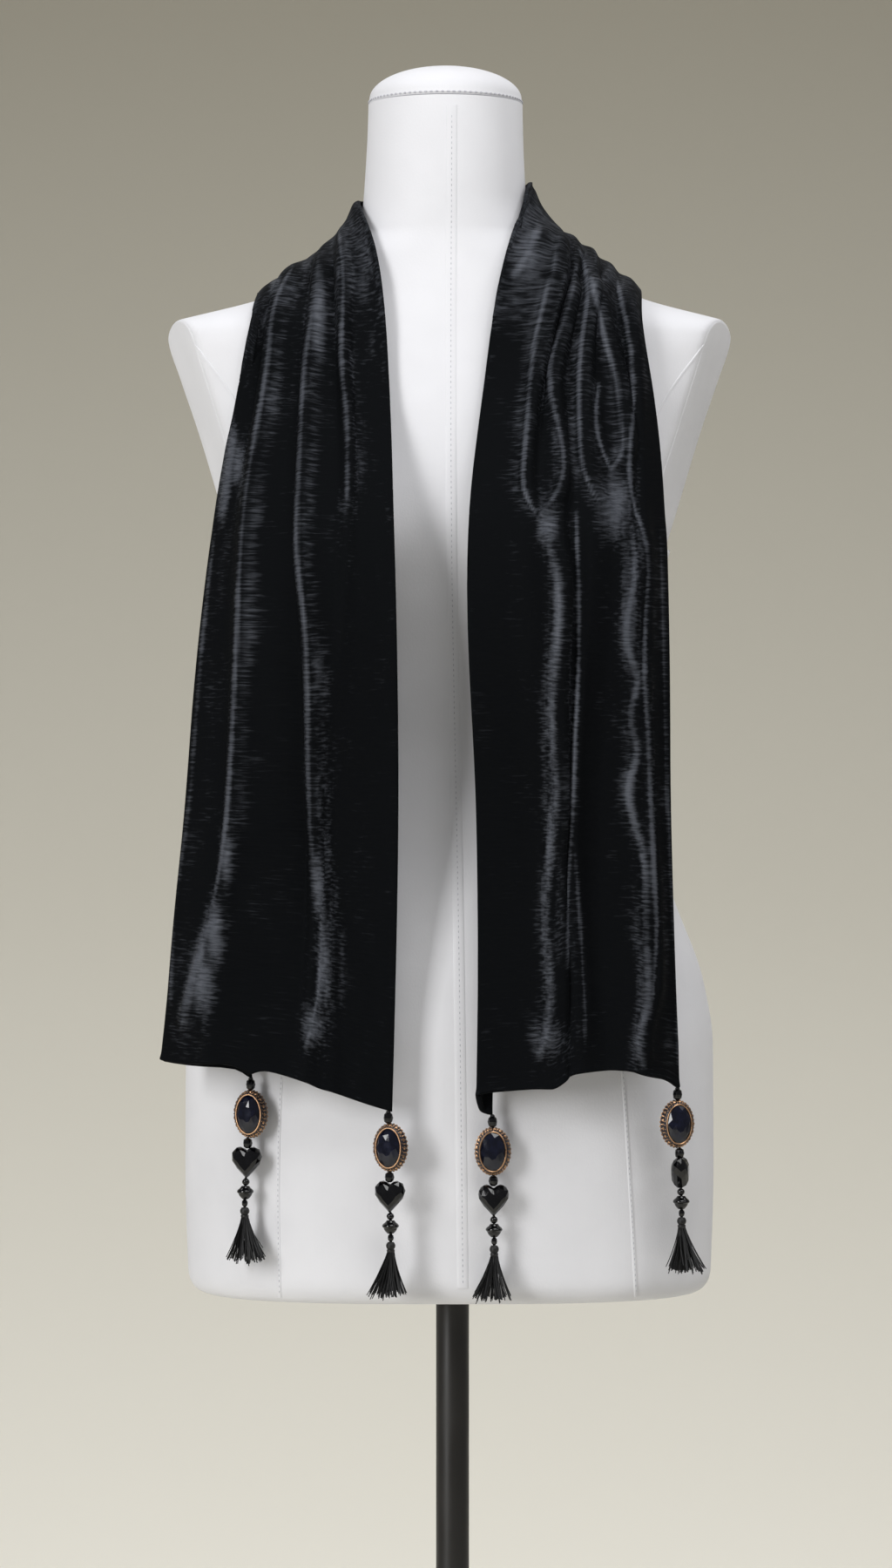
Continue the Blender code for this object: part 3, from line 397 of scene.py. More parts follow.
# Painted shade on the backdrop: between these heights its tone darkens from the foot's colour to the top's,
# for light that falls off up the paper
BACKDROP_TONE = (150.0, 1850.0)
BACKDROP_FALL = 0.65
BACKDROP_REACH = 4500.0
BACKDROP_HALF_WIDTH = 4000.0
# Each light: its field in the settings, its place, what it is aimed at, its width and its height
LIGHTS = (
    ("window_light", "key_power", (-2.1, -2.3, 1.8), (0.0, 0.0, 1.2), 0.8, 2.0),
    ("top_light", "top_power", (0.5, -1.2, 3.1), (0.05, 0.0, 1.2), 1.3, 1.3),
    ("fill_light", "fill_power", (2.2, -1.4, 2.8), (0.1, 0.0, 1.35), 1.3, 1.3),
    ("paper_light", "paper_power", (0.0, 0.9, 3.0), (0.0, 1.9, 0.4), 3.0, 0.8),
)
ROOM_COLOUR = (0.62, 0.62, 0.66, 1.0)
CAMERA_PLACE = (0.0, -3.0, 1.009)
CAMERA_LENS = 105.28
CAMERA_SENSOR = 36.0
CAMERA_SHIFT = -4 / 1800
# Edges of the cloth, in line numbers from each long edge and in millimetres from each hem, where its
# rounded section is followed
EDGE_LINES = (0.0, 0.015, 0.05, 0.1, 0.17, 0.3)
EDGE_MM = (0.0, 0.15, 0.5, 1.0, 1.7, 3.0)
EDGE_ROUND = 1.0
ROLL_REACH = 2.6
ROLL_GAIN = 0.55


def linear(hex_colour):
    """An sRGB hex colour as linear red, green and blue."""
    channels = np.array([int(hex_colour[i:i + 2], 16) for i in (0, 2, 4)]) / 255
    high = ((channels + 0.055) / 1.055) ** 2.4
    return tuple(float(value) for value in np.where(channels <= 0.04045, channels / 12.92, high))


# Settings

def size_field(name, millimetres, description):
    return FloatProperty(
        name=name, description=description, default=millimetres * MM, unit="LENGTH", precision=5
    )


def colour_field(name, hex_colour, description):
    return FloatVectorProperty(
        name=name, description=description, default=linear(hex_colour), subtype="COLOR", size=3,
        min=0.0, max=1.0,
    )


def steps_field(name, count, least, description):
    return IntProperty(name=name, description=description, default=count, min=least)


def light_field(name, strength, description):
    return FloatProperty(name=name, description=description, default=strength)


class ScarfSettings(PropertyGroup):
    wall: size_field("Cloth thickness", 1.6, "Thickness of the velvet with its pile")
    columns: steps_field("Columns", 150, 40, "Steps across each stretch of cloth")
    front_rows: steps_field("Front rows", 280, 60, "Steps along each front")
    neck_rows: steps_field("Neck rows", 120, 40, "Steps round the neck")
    pile: colour_field("Pile colour", "020304", "Colour of the velvet where no light catches it")
    # Lighter colour painted into the velvet where light catches it: a painted sheen, not a colour of the
    # cloth
    painted_sheen_colour: colour_field("Pressed colour", "54575e", "Colour of the pile pressed towards the light")
    sheen: colour_field("Sheen colour", "dfe4ee", "Tint of the velvet where light catches it")


class FormSettings(PropertyGroup):
    ring_spacing: size_field("Ring spacing", 5.0, "Distance between the rings of the body's surface")
    sides: steps_field("Sides", 256, 64, "Points round each ring")
    jersey: colour_field("Jersey colour", "dfdfe2", "Colour of the form's jersey cover")
    stitch: colour_field("Stitch colour", "b9b9c0", "Colour of the stitches along the form's seams")


class StandSettings(PropertyGroup):
    paint: colour_field("Paint colour", "191714", "Colour of the stand's satin paint")
    sides: steps_field("Sides", 96, 24, "Points round each turned piece")


class PendantSettings(PropertyGroup):
    jet: colour_field("Jet colour", "030304", "Colour of the black glass beads")
    stone: colour_field("Stone colour", "070916", "Colour of the cameo's navy glass")
    gilt: colour_field("Gilt colour", "c9a07c", "Colour of the cameo's antique gilt")
    enamel: colour_field("Enamel colour", "0d0c14", "Colour of the dark ground behind the gilt ornament")
    thread: colour_field("Thread colour", "0b0b0c", "Colour of the tassel's threads")
    strands: steps_field("Strands", 130, 20, "Threads in each tassel's skirt")


class StageSettings(PropertyGroup):
    # The backdrop's two colours paint shade onto it: the top is darker than the foot
    high: colour_field("Backdrop top", "888478", "Colour of the backdrop behind the form's neck")
    low: colour_field("Backdrop foot", "f6f3e8", "Colour of the backdrop near the floor")
    key_power: light_field("Key light", 64.0, "Power of the window light, in watts")
    top_power: light_field("Top light", 31.0, "Power of the light overhead, in watts")
    paper_power: light_field("Paper light", 19.0, "Power of the backdrop's own light, in watts")
    fill_power: light_field("Fill light", 16.0, "Power of the light on the right, in watts")
    room: light_field("Room light", 0.28, "Strength of the room's even light")


SETTINGS = {
    "scarf_looks": ScarfSettings,
    "form_looks": FormSettings,
    "stand_looks": StandSettings,
    "pendant_looks": PendantSettings,
    "stage_looks": StageSettings,
}


# Surfaces. A shape is (points in millimetres, quads, triangles).

NO_QUADS = np.zeros((0, 4), int)
NO_TRIANGLES = np.zeros((0, 3), int)


def grid_quads(numbers, around=False):
    """Quads between neighbouring point numbers of a grid, joined round its columns if around."""
    if around:
        numbers = np.concatenate([numbers, numbers[:, :1]], axis=1)
    quads = np.stack([numbers[:-1, :-1], numbers[:-1, 1:], numbers[1:, 1:], numbers[1:, :-1]], axis=-1)
    return quads.reshape(-1, 4)


def outward(shape):
    """The shape with its faces turned over if it encloses a negative volume."""
    points, quads, triangles = shape
    corners = np.concatenate([triangles, quads[:, :3], quads[:, [0, 2, 3]]])
    if np.linalg.det(points[corners] - points.mean(axis=0)).sum() < 0:
        return points, quads[:, ::-1], triangles[:, ::-1]
    return shape


def rows_of(columns, table):
    """Each row of a table as a dictionary, with any route as an array from its lower end up."""
    for values in table:
        row = dict(zip(columns, values))
        if "route" in row:
            row["route"] = np.array(sorted(row["route"]), float)
        yield row


def node_corners(node):
    """A solid's lowest and highest corners, in millimetres."""
    return (np.array(corner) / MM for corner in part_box(node))


def node_box(node):
    """A solid's middle and its size, in millimetres."""
    low, high = node_corners(node)
    return (low + high) / 2, high - low


def unit(vectors):
    """The vectors at a length of one."""
    return vectors / np.maximum(np.linalg.norm(vectors, axis=-1, keepdims=True), 1e-9)


def turns(count, ahead=0.0):
    """The angles of even steps round a circle, some steps ahead."""
    return (np.arange(count) + ahead) * 2 * np.pi / count


def spokes(angles):
    """Level unit vectors at angles about Z."""
    return np.stack([np.cos(angles), np.sin(angles), np.zeros_like(angles)], axis=-1)


def numbered(grid):
    """The number of each point of a grid, row by row."""
    return np.arange(grid.shape[0] * grid.shape[1]).reshape(grid.shape[:2])


def merged(shapes):
    """Several shapes as one, their points one after another."""
    points, quads, triangles = zip(*shapes)
    starts = np.cumsum([0] + [len(part) for part in points[:-1]])
    return (
        np.concatenate(points),
        np.concatenate([faces + start for faces, start in zip(quads, starts)]),
        np.concatenate([faces + start for faces, start in zip(triangles, starts)]),
    )


def copied(points, quads, triangles):
    """A stack of shapes with the same faces: points is (copies, points of one, 3)."""
    starts = (np.arange(len(points)) * points.shape[1])[:, None, None]
    return (
        points.reshape(-1, 3),
        (quads[None] + starts).reshape(-1, 4),
        (triangles[None] + starts).reshape(-1, 3),
    )


def placed(shape, centre, turn=0.0):
    """The shape turned about Z by some degrees and moved to its place."""
    across, along = math.cos(math.radians(turn)), math.sin(math.radians(turn))
    matrix = np.array([[across, -along, 0.0], [along, across, 0.0], [0.0, 0.0, 1.0]])
    return shape[0] @ matrix.T + np.asarray(centre, float), shape[1], shape[2]


def closed_rings(grid, first_pole=None, last_pole=None):
    """A closed surface through rings of points, with a fan from each end ring to its pole, or its middle."""
    first_pole = grid[0].mean(axis=0) if first_pole is None else first_pole
    last_pole = grid[-1].mean(axis=0) if last_pole is None else last_pole
    numbers = numbered(grid)
    following = np.roll(numbers, -1, axis=1)
    first = np.full(grid.shape[1], numbers.size)
    fans = [
        np.stack([following[0], numbers[0], first], axis=-1),
        np.stack([numbers[-1], following[-1], first + 1], axis=-1),
    ]
    points = np.concatenate([grid.reshape(-1, 3), [first_pole], [last_pole]])
    return outward((points, grid_quads(numbers, around=True), np.concatenate(fans)))


def turned(profile, count, centre=(0.0, 0.0, 0.0)):
    """A solid of revolution about Z: every (radius, height) becomes a circle of count points."""
    profile = np.asarray(profile, float)
    radii, heights = profile[1:-1, 0, None, None], profile[1:-1, 1, None, None]
    grid = radii * spokes(turns(count)) + heights * np.array([0.0, 0.0, 1.0])
    return placed(closed_rings(grid, (0, 0, profile[0, 1]), (0, 0, profile[-1, 1])), centre)


def arc_profile(corners, round_off, steps=5):
    """A (radius, height) profile with each inner corner a quadratic curve, round_off long on each side."""
    corners = np.asarray(corners, float)
    t = np.linspace(0, 1, steps)[:, None]
    path = [corners[:1]]
    for before, corner, after in zip(corners, corners[1:], corners[2:]):
        ends = []
        for other in (before, after):
            side = np.linalg.norm(other - corner)
            ends.append(corner + (other - corner) / side * min(round_off, side * 0.45))
        path.append(ends[0] * (1 - t) ** 2 + corner * 2 * t * (1 - t) + ends[1] * t**2)
    return np.concatenate([*path, corners[-1:]])


def pebbles(centres, semi_axes, rows=4, columns=8):
    """Small ellipsoids: the unit sphere through each one's three semi-axis vectors, moved to its centre."""
    latitude = np.linspace(0, np.pi, rows + 1)
    ball, quads, triangles = turned(np.stack([np.sin(latitude), np.cos(latitude)], axis=-1), columns)
    points = np.asarray(centres)[:, None, :] + np.einsum("pk,mkd->mpd", ball, np.asarray(semi_axes))
    return copied(points, quads, triangles)


def add_piece(name, shape, material, slot, node=None, smooth=True, sharp=35):
    """Puts a shape into the scene as a finished piece that rides with the object and may replace a node."""
    points, quads, triangles = shape
    mesh = bpy.data.meshes.new(name)
    loops = np.concatenate([quads.reshape(-1), triangles.reshape(-1)]).astype(np.int32)
    starts = np.concatenate([np.arange(len(quads)) * 4, quads.size + np.arange(len(triangles)) * 3])
    mesh.vertices.add(len(points))
    mesh.vertices.foreach_set("co", (np.asarray(points, float) * MM).astype(np.float32).ravel())
    mesh.loops.add(len(loops))
    mesh.loops.foreach_set("vertex_index", loops)
    mesh.polygons.add(len(starts))
    mesh.polygons.foreach_set("loop_start", starts.astype(np.int32))
    mesh.update(calc_edges=True)
    mesh.validate()
    mesh.materials.append(material)
    if smooth:
        mesh.shade_smooth()
        mesh.set_sharp_from_angle(angle=math.radians(sharp))
    else:
        mesh.shade_flat()
    piece = bpy.data.objects.new(name, mesh)
    bpy.context.scene.collection.objects.link(piece)
    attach(piece, BODY)
    if node:
        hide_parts(node)
    return piece


# Materials. Texture scales are cycles per metre, from the real size of what they draw.

def add_node(material, kind, settings=None, inputs=None, links=None):
    """Adds a node of a kind, with its settings, its socket values, and links from other nodes' outputs."""
    node = material.node_tree.nodes.new(kind)
    for key, value in (settings or {}).items():
        setattr(node, key, value)
    for socket, value in (inputs or {}).items():
        node.inputs[socket].default_value = value
    for socket, output in (links or {}).items():
        material.node_tree.links.new(output, node.inputs[socket])
    return node


def empty_material(name):
    material = bpy.data.materials.new(name)
    material.use_nodes = True
    material.node_tree.nodes.clear()
    return material


def shade(colour, factor):
    """A linear colour made darker or lighter, opaque."""
    return (*(min(channel * factor, 1.0) for channel in colour), 1.0)


def panne_velvet(pile, painted_sheen_colour, sheen):
    """Silk-viscose panne velvet, woven and its pile flattened down the length: near black, with a grey
    gloss on slopes that face the light. Over that gloss its base colour is painted lighter, a painted
    sheen, along the left slopes of its creases, towards the shoulders and in patches. The pile leans a
    little aside by turns, in rows across the cloth, so that the gloss and the painted sheen are
    feathered into fine streaks."""
    velvet = empty_material("panne_velvet")
    cloth = add_node(velvet, "ShaderNodeUVMap", {"uv_map": "cloth"})
    # Where the share of gloss and painted sheen is high the pile is glossy and its colour is painted
    # lighter, a painted highlight; elsewhere it is dull and black, with a feathered border
    gleam = add_node(velvet, "ShaderNodeAttribute", {"attribute_name": "gleam"}).outputs["Fac"]
    leans = []
    for scale, roughness, band, slope, feather in PILE_PATTERNS:
        spread = add_node(
            velvet, "ShaderNodeMapping", inputs={"Scale": scale}, links={"Vector": cloth.outputs["UV"]}
        )
        pattern = add_node(
            velvet, "ShaderNodeTexNoise", inputs={"Scale": 1.0, "Detail": 3.0, "Roughness": roughness},
            links={"Vector": spread.outputs["Vector"]},
        )
        lean = add_node(
            velvet, "ShaderNodeMapRange",
            inputs={"From Min": band[0], "From Max": band[1], "To Min": -slope, "To Max": slope},
            links={"Value": pattern.outputs["Fac"]},
        )
        leans.append(lean.outputs["Result"])
        streaks = add_node(
            velvet, "ShaderNodeMapRange",
            inputs={"From Min": 0.33, "From Max": 0.67, "To Min": 0.0, "To Max": feather},
            links={"Value": pattern.outputs["Fac"]},
        )
        feathered = add_node(
            velvet, "ShaderNodeMath", {"operation": "ADD"}, links={0: streaks.outputs["Result"], 1: gleam}
        )
        gleam = feathered.outputs["Value"]
    lean = add_node(velvet, "ShaderNodeMath", {"operation": "ADD"}, links=dict(enumerate(leans)))
    across = add_node(velvet, "ShaderNodeTangent", {"direction_type": "UV_MAP", "uv_map": "cloth"})
    aside = add_node(
        velvet, "ShaderNodeVectorMath", {"operation": "SCALE"},
        links={"Vector": across.outputs["Tangent"], "Scale": lean.outputs["Value"]},
    )
    ground = add_node(velvet, "ShaderNodeNewGeometry")
    leaning = add_node(
        velvet, "ShaderNodeVectorMath", {"operation": "ADD"},
        links={0: ground.outputs["Normal"], 1: aside.outputs["Vector"]},
    )
    pile_normal = add_node(
        velvet, "ShaderNodeVectorMath", {"operation": "NORMALIZE"}, links={0: leaning.outputs["Vector"]}
    )
    # The pile's own grain, drawn 0.8 mm across
    grain = add_node(
        velvet, "ShaderNodeTexNoise", inputs={"Scale": 1250.0, "Detail": 2.0},
        links={"Vector": cloth.outputs["UV"]},
    )
    grain_bump = add_node(
        velvet, "ShaderNodeBump", inputs={"Strength": 0.5, "Distance": 0.0002},
        links={"Height": grain.outputs["Fac"], "Normal": pile_normal.outputs["Vector"]},
    )
    # Painted sheen: by one share the base colour goes from the pile's black to the lighter painted colour, a
    # painted highlight, and the roughness goes from dull to glossy
    gloss_and_painted_sheen_step = add_node(
        velvet, "ShaderNodeMapRange", {"interpolation_type": "SMOOTHSTEP"},
        {"From Min": GLOSS_AND_PAINTED_SHEEN_RANGE[0], "From Max": GLOSS_AND_PAINTED_SHEEN_RANGE[1]}, {"Value": gleam},
    )
    tone = add_node(
        velvet, "ShaderNodeMix", {"data_type": "RGBA"}, {6: shade(pile, 1.0), 7: shade(painted_sheen_colour, 1.0)},
        {0: gloss_and_painted_sheen_step.outputs["Result"]},
    )
    gloss = add_node(
        velvet, "ShaderNodeMapRange", inputs={"To Min": VELVET_ROUGHNESS[1], "To Max": VELVET_ROUGHNESS[0]},
        links={"Value": gloss_and_painted_sheen_step.outputs["Result"]},
    )
    # Seen along the cloth, the tips of the pile scatter the light
    slant = add_node(velvet, "ShaderNodeLayerWeight", inputs={"Blend": 0.5})
    scatter = add_node(
        velvet, "ShaderNodeMapRange",
        inputs={"From Min": 0.45, "From Max": 0.9, "To Max": VELVET_GRAZING_ROUGHNESS},
        links={"Value": slant.outputs["Facing"]},
    )
    dull = add_node(
        velvet, "ShaderNodeMath", {"operation": "MAXIMUM"},
        links={0: gloss.outputs["Result"], 1: scatter.outputs["Result"]},
    )
    shader = add_node(
        velvet, "ShaderNodeBsdfPrincipled",
        inputs={"Specular IOR Level": VELVET_SPECULAR, "Specular Tint": shade(sheen, 1.0)},
        links={
            "Base Color": tone.outputs[2], "Roughness": dull.outputs["Value"],
            "Normal": grain_bump.outputs["Normal"],
        },
    )
    add_node(velvet, "ShaderNodeOutputMaterial", links={"Surface": shader.outputs["BSDF"]})
    return velvet


def patterned(name, colour, relief, bump, tones, wear=None, spread=None, gloss=None, shader=None):
    """A material with a fine relief and uneven wear, the same pattern unless wear is given.

    A pattern is its cycles per metre, on all axes or on each, and its detail. bump is the relief's strength
    and depth. With the wear the colour goes from its first of tones to its second, over the part of the
    pattern in spread, and the roughness over gloss. shader holds the values that are the same all over."""
    material = empty_material(name)
    place = add_node(material, "ShaderNodeTexCoord")
    patterns = []
    for scale, detail in (relief, wear) if wear else (relief,):
        vector = place.outputs["Object"]
        if isinstance(scale, tuple):
            stretched = add_node(
                material, "ShaderNodeMapping", inputs={"Scale": scale}, links={"Vector": vector}
            )
            vector, scale = stretched.outputs["Vector"], 1.0
        noise = add_node(
            material, "ShaderNodeTexNoise", inputs={"Scale": scale, "Detail": detail},
            links={"Vector": vector},
        )
        patterns.append(noise.outputs["Fac"])
    share = patterns[-1]
    if spread:
        part = add_node(
            material, "ShaderNodeMapRange", inputs={"From Min": spread[0], "From Max": spread[1]},
            links={"Value": share},
        )
        share = part.outputs["Result"]
    tone = add_node(
        material, "ShaderNodeMix", {"data_type": "RGBA"},
        {6: shade(colour, tones[0]), 7: shade(colour, tones[1])}, {0: share},
    )
    raised = add_node(
        material, "ShaderNodeBump", inputs={"Strength": bump[0], "Distance": bump[1]},
        links={"Height": patterns[0]},
    )
    links = {"Base Color": tone.outputs[2], "Normal": raised.outputs["Normal"]}
    if gloss:
        rough = add_node(
            material, "ShaderNodeMapRange",
            inputs={"From Min": 0.3, "From Max": 0.7, "To Min": gloss[0], "To Max": gloss[1]},
            links={"Value": patterns[-1]},
        )
        links["Roughness"] = rough.outputs["Result"]
    finish = add_node(material, "ShaderNodeBsdfPrincipled", inputs=shader, links=links)
    add_node(material, "ShaderNodeOutputMaterial", links={"Surface": finish.outputs["BSDF"]})
    return material


def cotton_jersey(colour):
    """Cotton jersey, knitted and stretched over foam: matt white, with fine even loops, and a tone that is
    faintly uneven from handling."""
    # Knit loops, drawn 1.1 mm wide and 1.6 mm tall, where real ones are half that. Handling 70 mm across.
    return patterned(
        "cotton_jersey", colour, ((900.0, 900.0, 620.0), 3.0), (0.3, 0.0003), (0.94, 1.0),
        (14.0, 3.0), (0.35, 0.65),
        shader={"Roughness": 0.9, "Specular IOR Level": 0.2, "Sheen Weight": 0.1, "Sheen Roughness": 0.6},
    )


def spun_thread(name, colour, roughness):
    """Viscose thread, spun: fibres turn round each strand and give it a soft broken gleam."""
    # Fibres 0.7 mm across and 2.5 mm long
    return patterned(
        name, colour, ((1400.0, 1400.0, 400.0), 2.0), (0.5, 0.0002), (0.5, 1.4),
        shader={
            "Roughness": roughness, "Specular IOR Level": 0.4, "Sheen Weight": 0.15, "Sheen Roughness": 0.4,
        },
    )


def powder_coated_steel(colour):
    """Steel tube and plate, powder-coated: satin black with a fine orange peel, glossier where rubbed."""
    # Orange peel 1.6 mm across, and rubbed places 50 mm across
    return patterned(
        "powder_coated_steel", colour, (620.0, 1.0), (0.25, 0.0001), (0.8, 1.4), (20.0, 4.0),
        gloss=(0.33, 0.5), shader={"Specular IOR Level": 0.5},
    )


def cut_glass(name, colour, depth):
    """Pressed glass, cut and fire-polished: hard gloss on facets that are a trace uneven, and depth times
    brighter where its body gathers light."""
    # Unevenness of the polish, 4 mm across
    return patterned(
        name, colour, (250.0, 1.0), (0.06, 0.0001), (1.0, depth), spread=(0.4, 0.65), gloss=(0.05, 0.12),
        shader={"IOR": 1.54, "Specular IOR Level": 0.45},
    )


def antique_gilt(name, colour, dulled):
    """Brass, cast and gilded: bright where it is rubbed, and darkened by dulled in its hollows."""
    # Rubbed places 1.8 mm across
    return patterned(
        name, colour, (550.0, 3.0), (0.35, 0.0001), (dulled, 1.0), spread=(0.35, 0.6), gloss=(0.42, 0.24),
        shader={"Metallic": 1.0},
    )


def dark_enamel(colour):
    """Glass enamel, fired on metal: dark, uneven and softly glossy, with old dust in scattered places."""
    # Dust in places 0.9 mm across
    return patterned(
        "dark_enamel", colour, (1100.0, 3.0), (0.4, 0.0001), (1.0, 3.0), spread=(0.4, 0.65),
        gloss=(0.28, 0.55),
    )


def backdrop_paper(low, high):
    """Matt studio paper, its tone going from the floor's to the top's with height: painted shade,
    darker towards the top, for light that falls off up the paper.
    """
    paper = empty_material("backdrop_paper")
    place = add_node(paper, "ShaderNodeTexCoord")
    height = add_node(paper, "ShaderNodeSeparateXYZ", links={"Vector": place.outputs["Object"]})
    rise = add_node(
        paper, "ShaderNodeMapRange",
        inputs={"From Min": BACKDROP_TONE[0] * MM, "From Max": BACKDROP_TONE[1] * MM},
        links={"Value": height.outputs["Z"]},
    )
    falling_off = add_node(
        paper, "ShaderNodeMath", {"operation": "POWER"}, {1: BACKDROP_FALL}, {0: rise.outputs["Result"]}
    )
    tone = add_node(
        paper, "ShaderNodeMix", {"data_type": "RGBA"}, {6: shade(low, 1.0), 7: shade(high, 1.0)},
        {0: falling_off.outputs["Value"]},
    )
    shader = add_node(
        paper, "ShaderNodeBsdfPrincipled", inputs={"Roughness": 1.0, "Specular IOR Level": 0.0},
        links={"Base Color": tone.outputs[2]},
    )
    # From behind, the paper isn't drawn, so that the back of the object can be seen
    side = add_node(paper, "ShaderNodeNewGeometry")
    clear = add_node(paper, "ShaderNodeBsdfTransparent")
    seen = add_node(
        paper, "ShaderNodeMixShader",
        links={0: side.outputs["Backfacing"], 1: shader.outputs["BSDF"], 2: clear.outputs["BSDF"]},
    )
    add_node(paper, "ShaderNodeOutputMaterial", links={"Surface": seen.outputs["Shader"]})
    return paper


# Curves through the tables, as the solids have them

def even_slopes(steps):
    """Slopes by which a curve never overshoots: the harmonic mean of two steps, or level at a turn."""
    before, after = steps[:-1], steps[1:]
    rising = before * after > 0
    return np.where(rising, 2 * before * after / np.where(rising, before + after, 1.0), 0.0)


def hermite(start, end, leaving, arriving, t):
    """A cubic from start to end, with its slopes there, read at t from 0 to 1."""
    return (
        start * (2 * t**3 - 3 * t**2 + 1)
        + leaving * (t**3 - 2 * t**2 + t)
        + end * (3 * t**2 - 2 * t**3)
        + arriving * (t**3 - t**2)
    )


def monotone(values, at):
    """Curves through values[0], values[1] and so on that never overshoot, read at the places in at."""
    values = np.asarray(values, float)
    steps = np.diff(values, axis=0)
    slopes = np.concatenate([steps[:1], even_slopes(steps), steps[-1:]])
    first = np.clip(np.floor(at).astype(int), 0, len(values) - 2)
    t = (np.asarray(at) - first).reshape((-1,) + (1,) * (values.ndim - 1))
    return hermite(values[first], values[first + 1], slopes[first], slopes[first + 1], t)


def flowing(knots, values, at):
    """Natural cubic splines through values at knots, read at the places in at."""
    knots = np.asarray(knots, float)
    values = np.asarray(values, float)
    gaps = np.diff(knots)
    slopes = np.diff(values, axis=0) / gaps.reshape((-1,) + (1,) * (values.ndim - 1))
    system = np.eye(len(knots))
    bends = np.zeros_like(values)
    for i in range(1, len(knots) - 1):
        system[i, i - 1:i + 2] = gaps[i - 1], 2 * (gaps[i - 1] + gaps[i]), gaps[i]
        bends[i] = 6 * (slopes[i] - slopes[i - 1])
    bends = np.linalg.solve(system, bends.reshape(len(knots), -1)).reshape(values.shape)
    first = np.clip(np.searchsorted(knots, at, side="right") - 1, 0, len(knots) - 2)
    shape = np.shape(first) + (1,) * (values.ndim - 1)
    gap = gaps[first].reshape(shape)
    t = (np.asarray(at) - knots[first]).reshape(shape)
    rest = gap - t
    return (
        bends[first] * rest**3 / (6 * gap)
        + bends[first + 1] * t**3 / (6 * gap)
        + (values[first] / gap - bends[first] * gap / 6) * rest
        + (values[first + 1] / gap - bends[first + 1] * gap / 6) * t
    )


def smooth_step(value):
    """0 below 0, 1 above 1, and a smooth S between."""
    value = np.clip(value, 0.0, 1.0)
    return value * value * (3 - 2 * value)


# Dress form: one signed distance for the whole body

def form_section(height):
    """The form's table row, read at each height between rows without overshoot."""
    table = np.array(FORM_SECTIONS, float)
    heights, gaps = table[:, 0], np.diff(table[:, 0])
    slopes = np.zeros_like(table)
    slopes[1:-1] = even_slopes(np.diff(table, axis=0) / gaps[:, None])
    first = np.clip(np.searchsorted(heights, height, side="right") - 1, 0, len(table) - 2)
    gap = gaps[first][..., None]
    t = np.clip((height - heights[first])[..., None] / gap, 0.0, 1.0)
    row = hermite(table[first], table[first + 1], slopes[first] * gap, slopes[first + 1] * gap, t)
    return np.moveaxis(row[..., 1:], -1, 0)


def soft_max(a, b, rounding):
    """The larger of two distances, blended where they are within rounding of each other."""
    overlap = np.maximum(rounding - np.abs(a - b), 0.0)
    return np.maximum(a, b) + overlap**2 / (4 * rounding)


def arm_edge(y, z):
    """How far out one armhole's flat face is: it leans in below and turns to the front."""
    return ARM_HALF_WIDTH - ARM_LEAN * (ARM_TOP - z) + ARM_TURN * (y - ARM_BACK)


def arm_gap(points, side):
    """Distance outside one armhole's face, which opens away below the armhole."""
    x, y, z = points[..., 0], points[..., 1], points[..., 2]
    opened = ARM_STEP_WIDTH * np.clip((ARM_FLOOR - z) / ARM_STEP_TALL, 0.0, 1.0)
    edge = arm_edge(y, np.maximum(z, ARM_FLOOR)) + opened
    return (side * x - edge) / math.sqrt(1 + ARM_LEAN**2 + ARM_TURN**2)


def body_gap(points):
    """Distance outside the form along the level ray, before its armholes and floor are cut."""
    x, y, z = points[..., 0], points[..., 1], points[..., 2]
    half_width, front, back, centre, squareness = form_section(z)
    x = x - centre
    bust = BUST_RISE * np.exp(-((z - BUST_HEIGHT) / BUST_TALL) ** 2) * (
        np.exp(-((x - BUST_SPREAD) / BUST_WIDTH) ** 2) + np.exp(-((x + BUST_SPREAD) / BUST_WIDTH) ** 2)
    )
    depth = np.where(y < 0, front + bust, back)
    reach = (np.abs(x / half_width) ** squareness + np.abs(y / depth) ** squareness) ** (1 / squareness)
    distance = np.hypot(x, y)
    return distance - distance / np.maximum(reach, 1e-6)


def form_gap(points):
    """Distance outside the whole form: its body, its two armhole faces and its floor, softly joined."""
    points = np.asarray(points, float)
    gap = soft_max(body_gap(points), arm_gap(points, 1), ARM_ROUND)
    gap = soft_max(gap, arm_gap(points, -1), ARM_ROUND)
    return soft_max(gap, FORM_FLOOR - points[..., 2], FORM_FLOOR_ROUND)


def form_normal(points):
    """The direction and rate in which form_gap grows."""
    step = 0.5
    rates = np.stack([
        (form_gap(points + step * axis) - form_gap(points - step * axis)) / (2 * step) for axis in np.eye(3)
    ], axis=-1)
    rate = np.maximum(np.linalg.norm(rates, axis=-1, keepdims=True), 1e-6)
    return rates / rate, rate[..., 0]


def keep_clear(points, clear, rounds):
    """Moves what is nearer to the form than clear straight out, by CLEAR_STEP at most in each round."""
    points = np.array(points, float)
    for _ in range(rounds):
        normal, rate = form_normal(points)
        short = np.maximum(clear - form_gap(points) / rate, 0.0)
        points += normal * np.minimum(short, CLEAR_STEP)[..., None]
    return points


def halving(inside, shape, longest, rounds=28):
    """The greatest distances, up to longest, for which inside(distances) is true."""
    inner, outer = np.zeros(shape), np.full(shape, longest)
    for _ in range(rounds):
        middle = (inner + outer) / 2
        held = inside(middle)
        inner, outer = np.where(held, middle, inner), np.where(held, outer, middle)
    return inner


def surface_along(origin, ray, longest):
    """Where rays from inside the form leave it."""
    reach = halving(lambda out: form_gap(origin + ray * out[..., None]) < 0, origin.shape[:-1], longest)
    return origin + ray * reach[..., None]


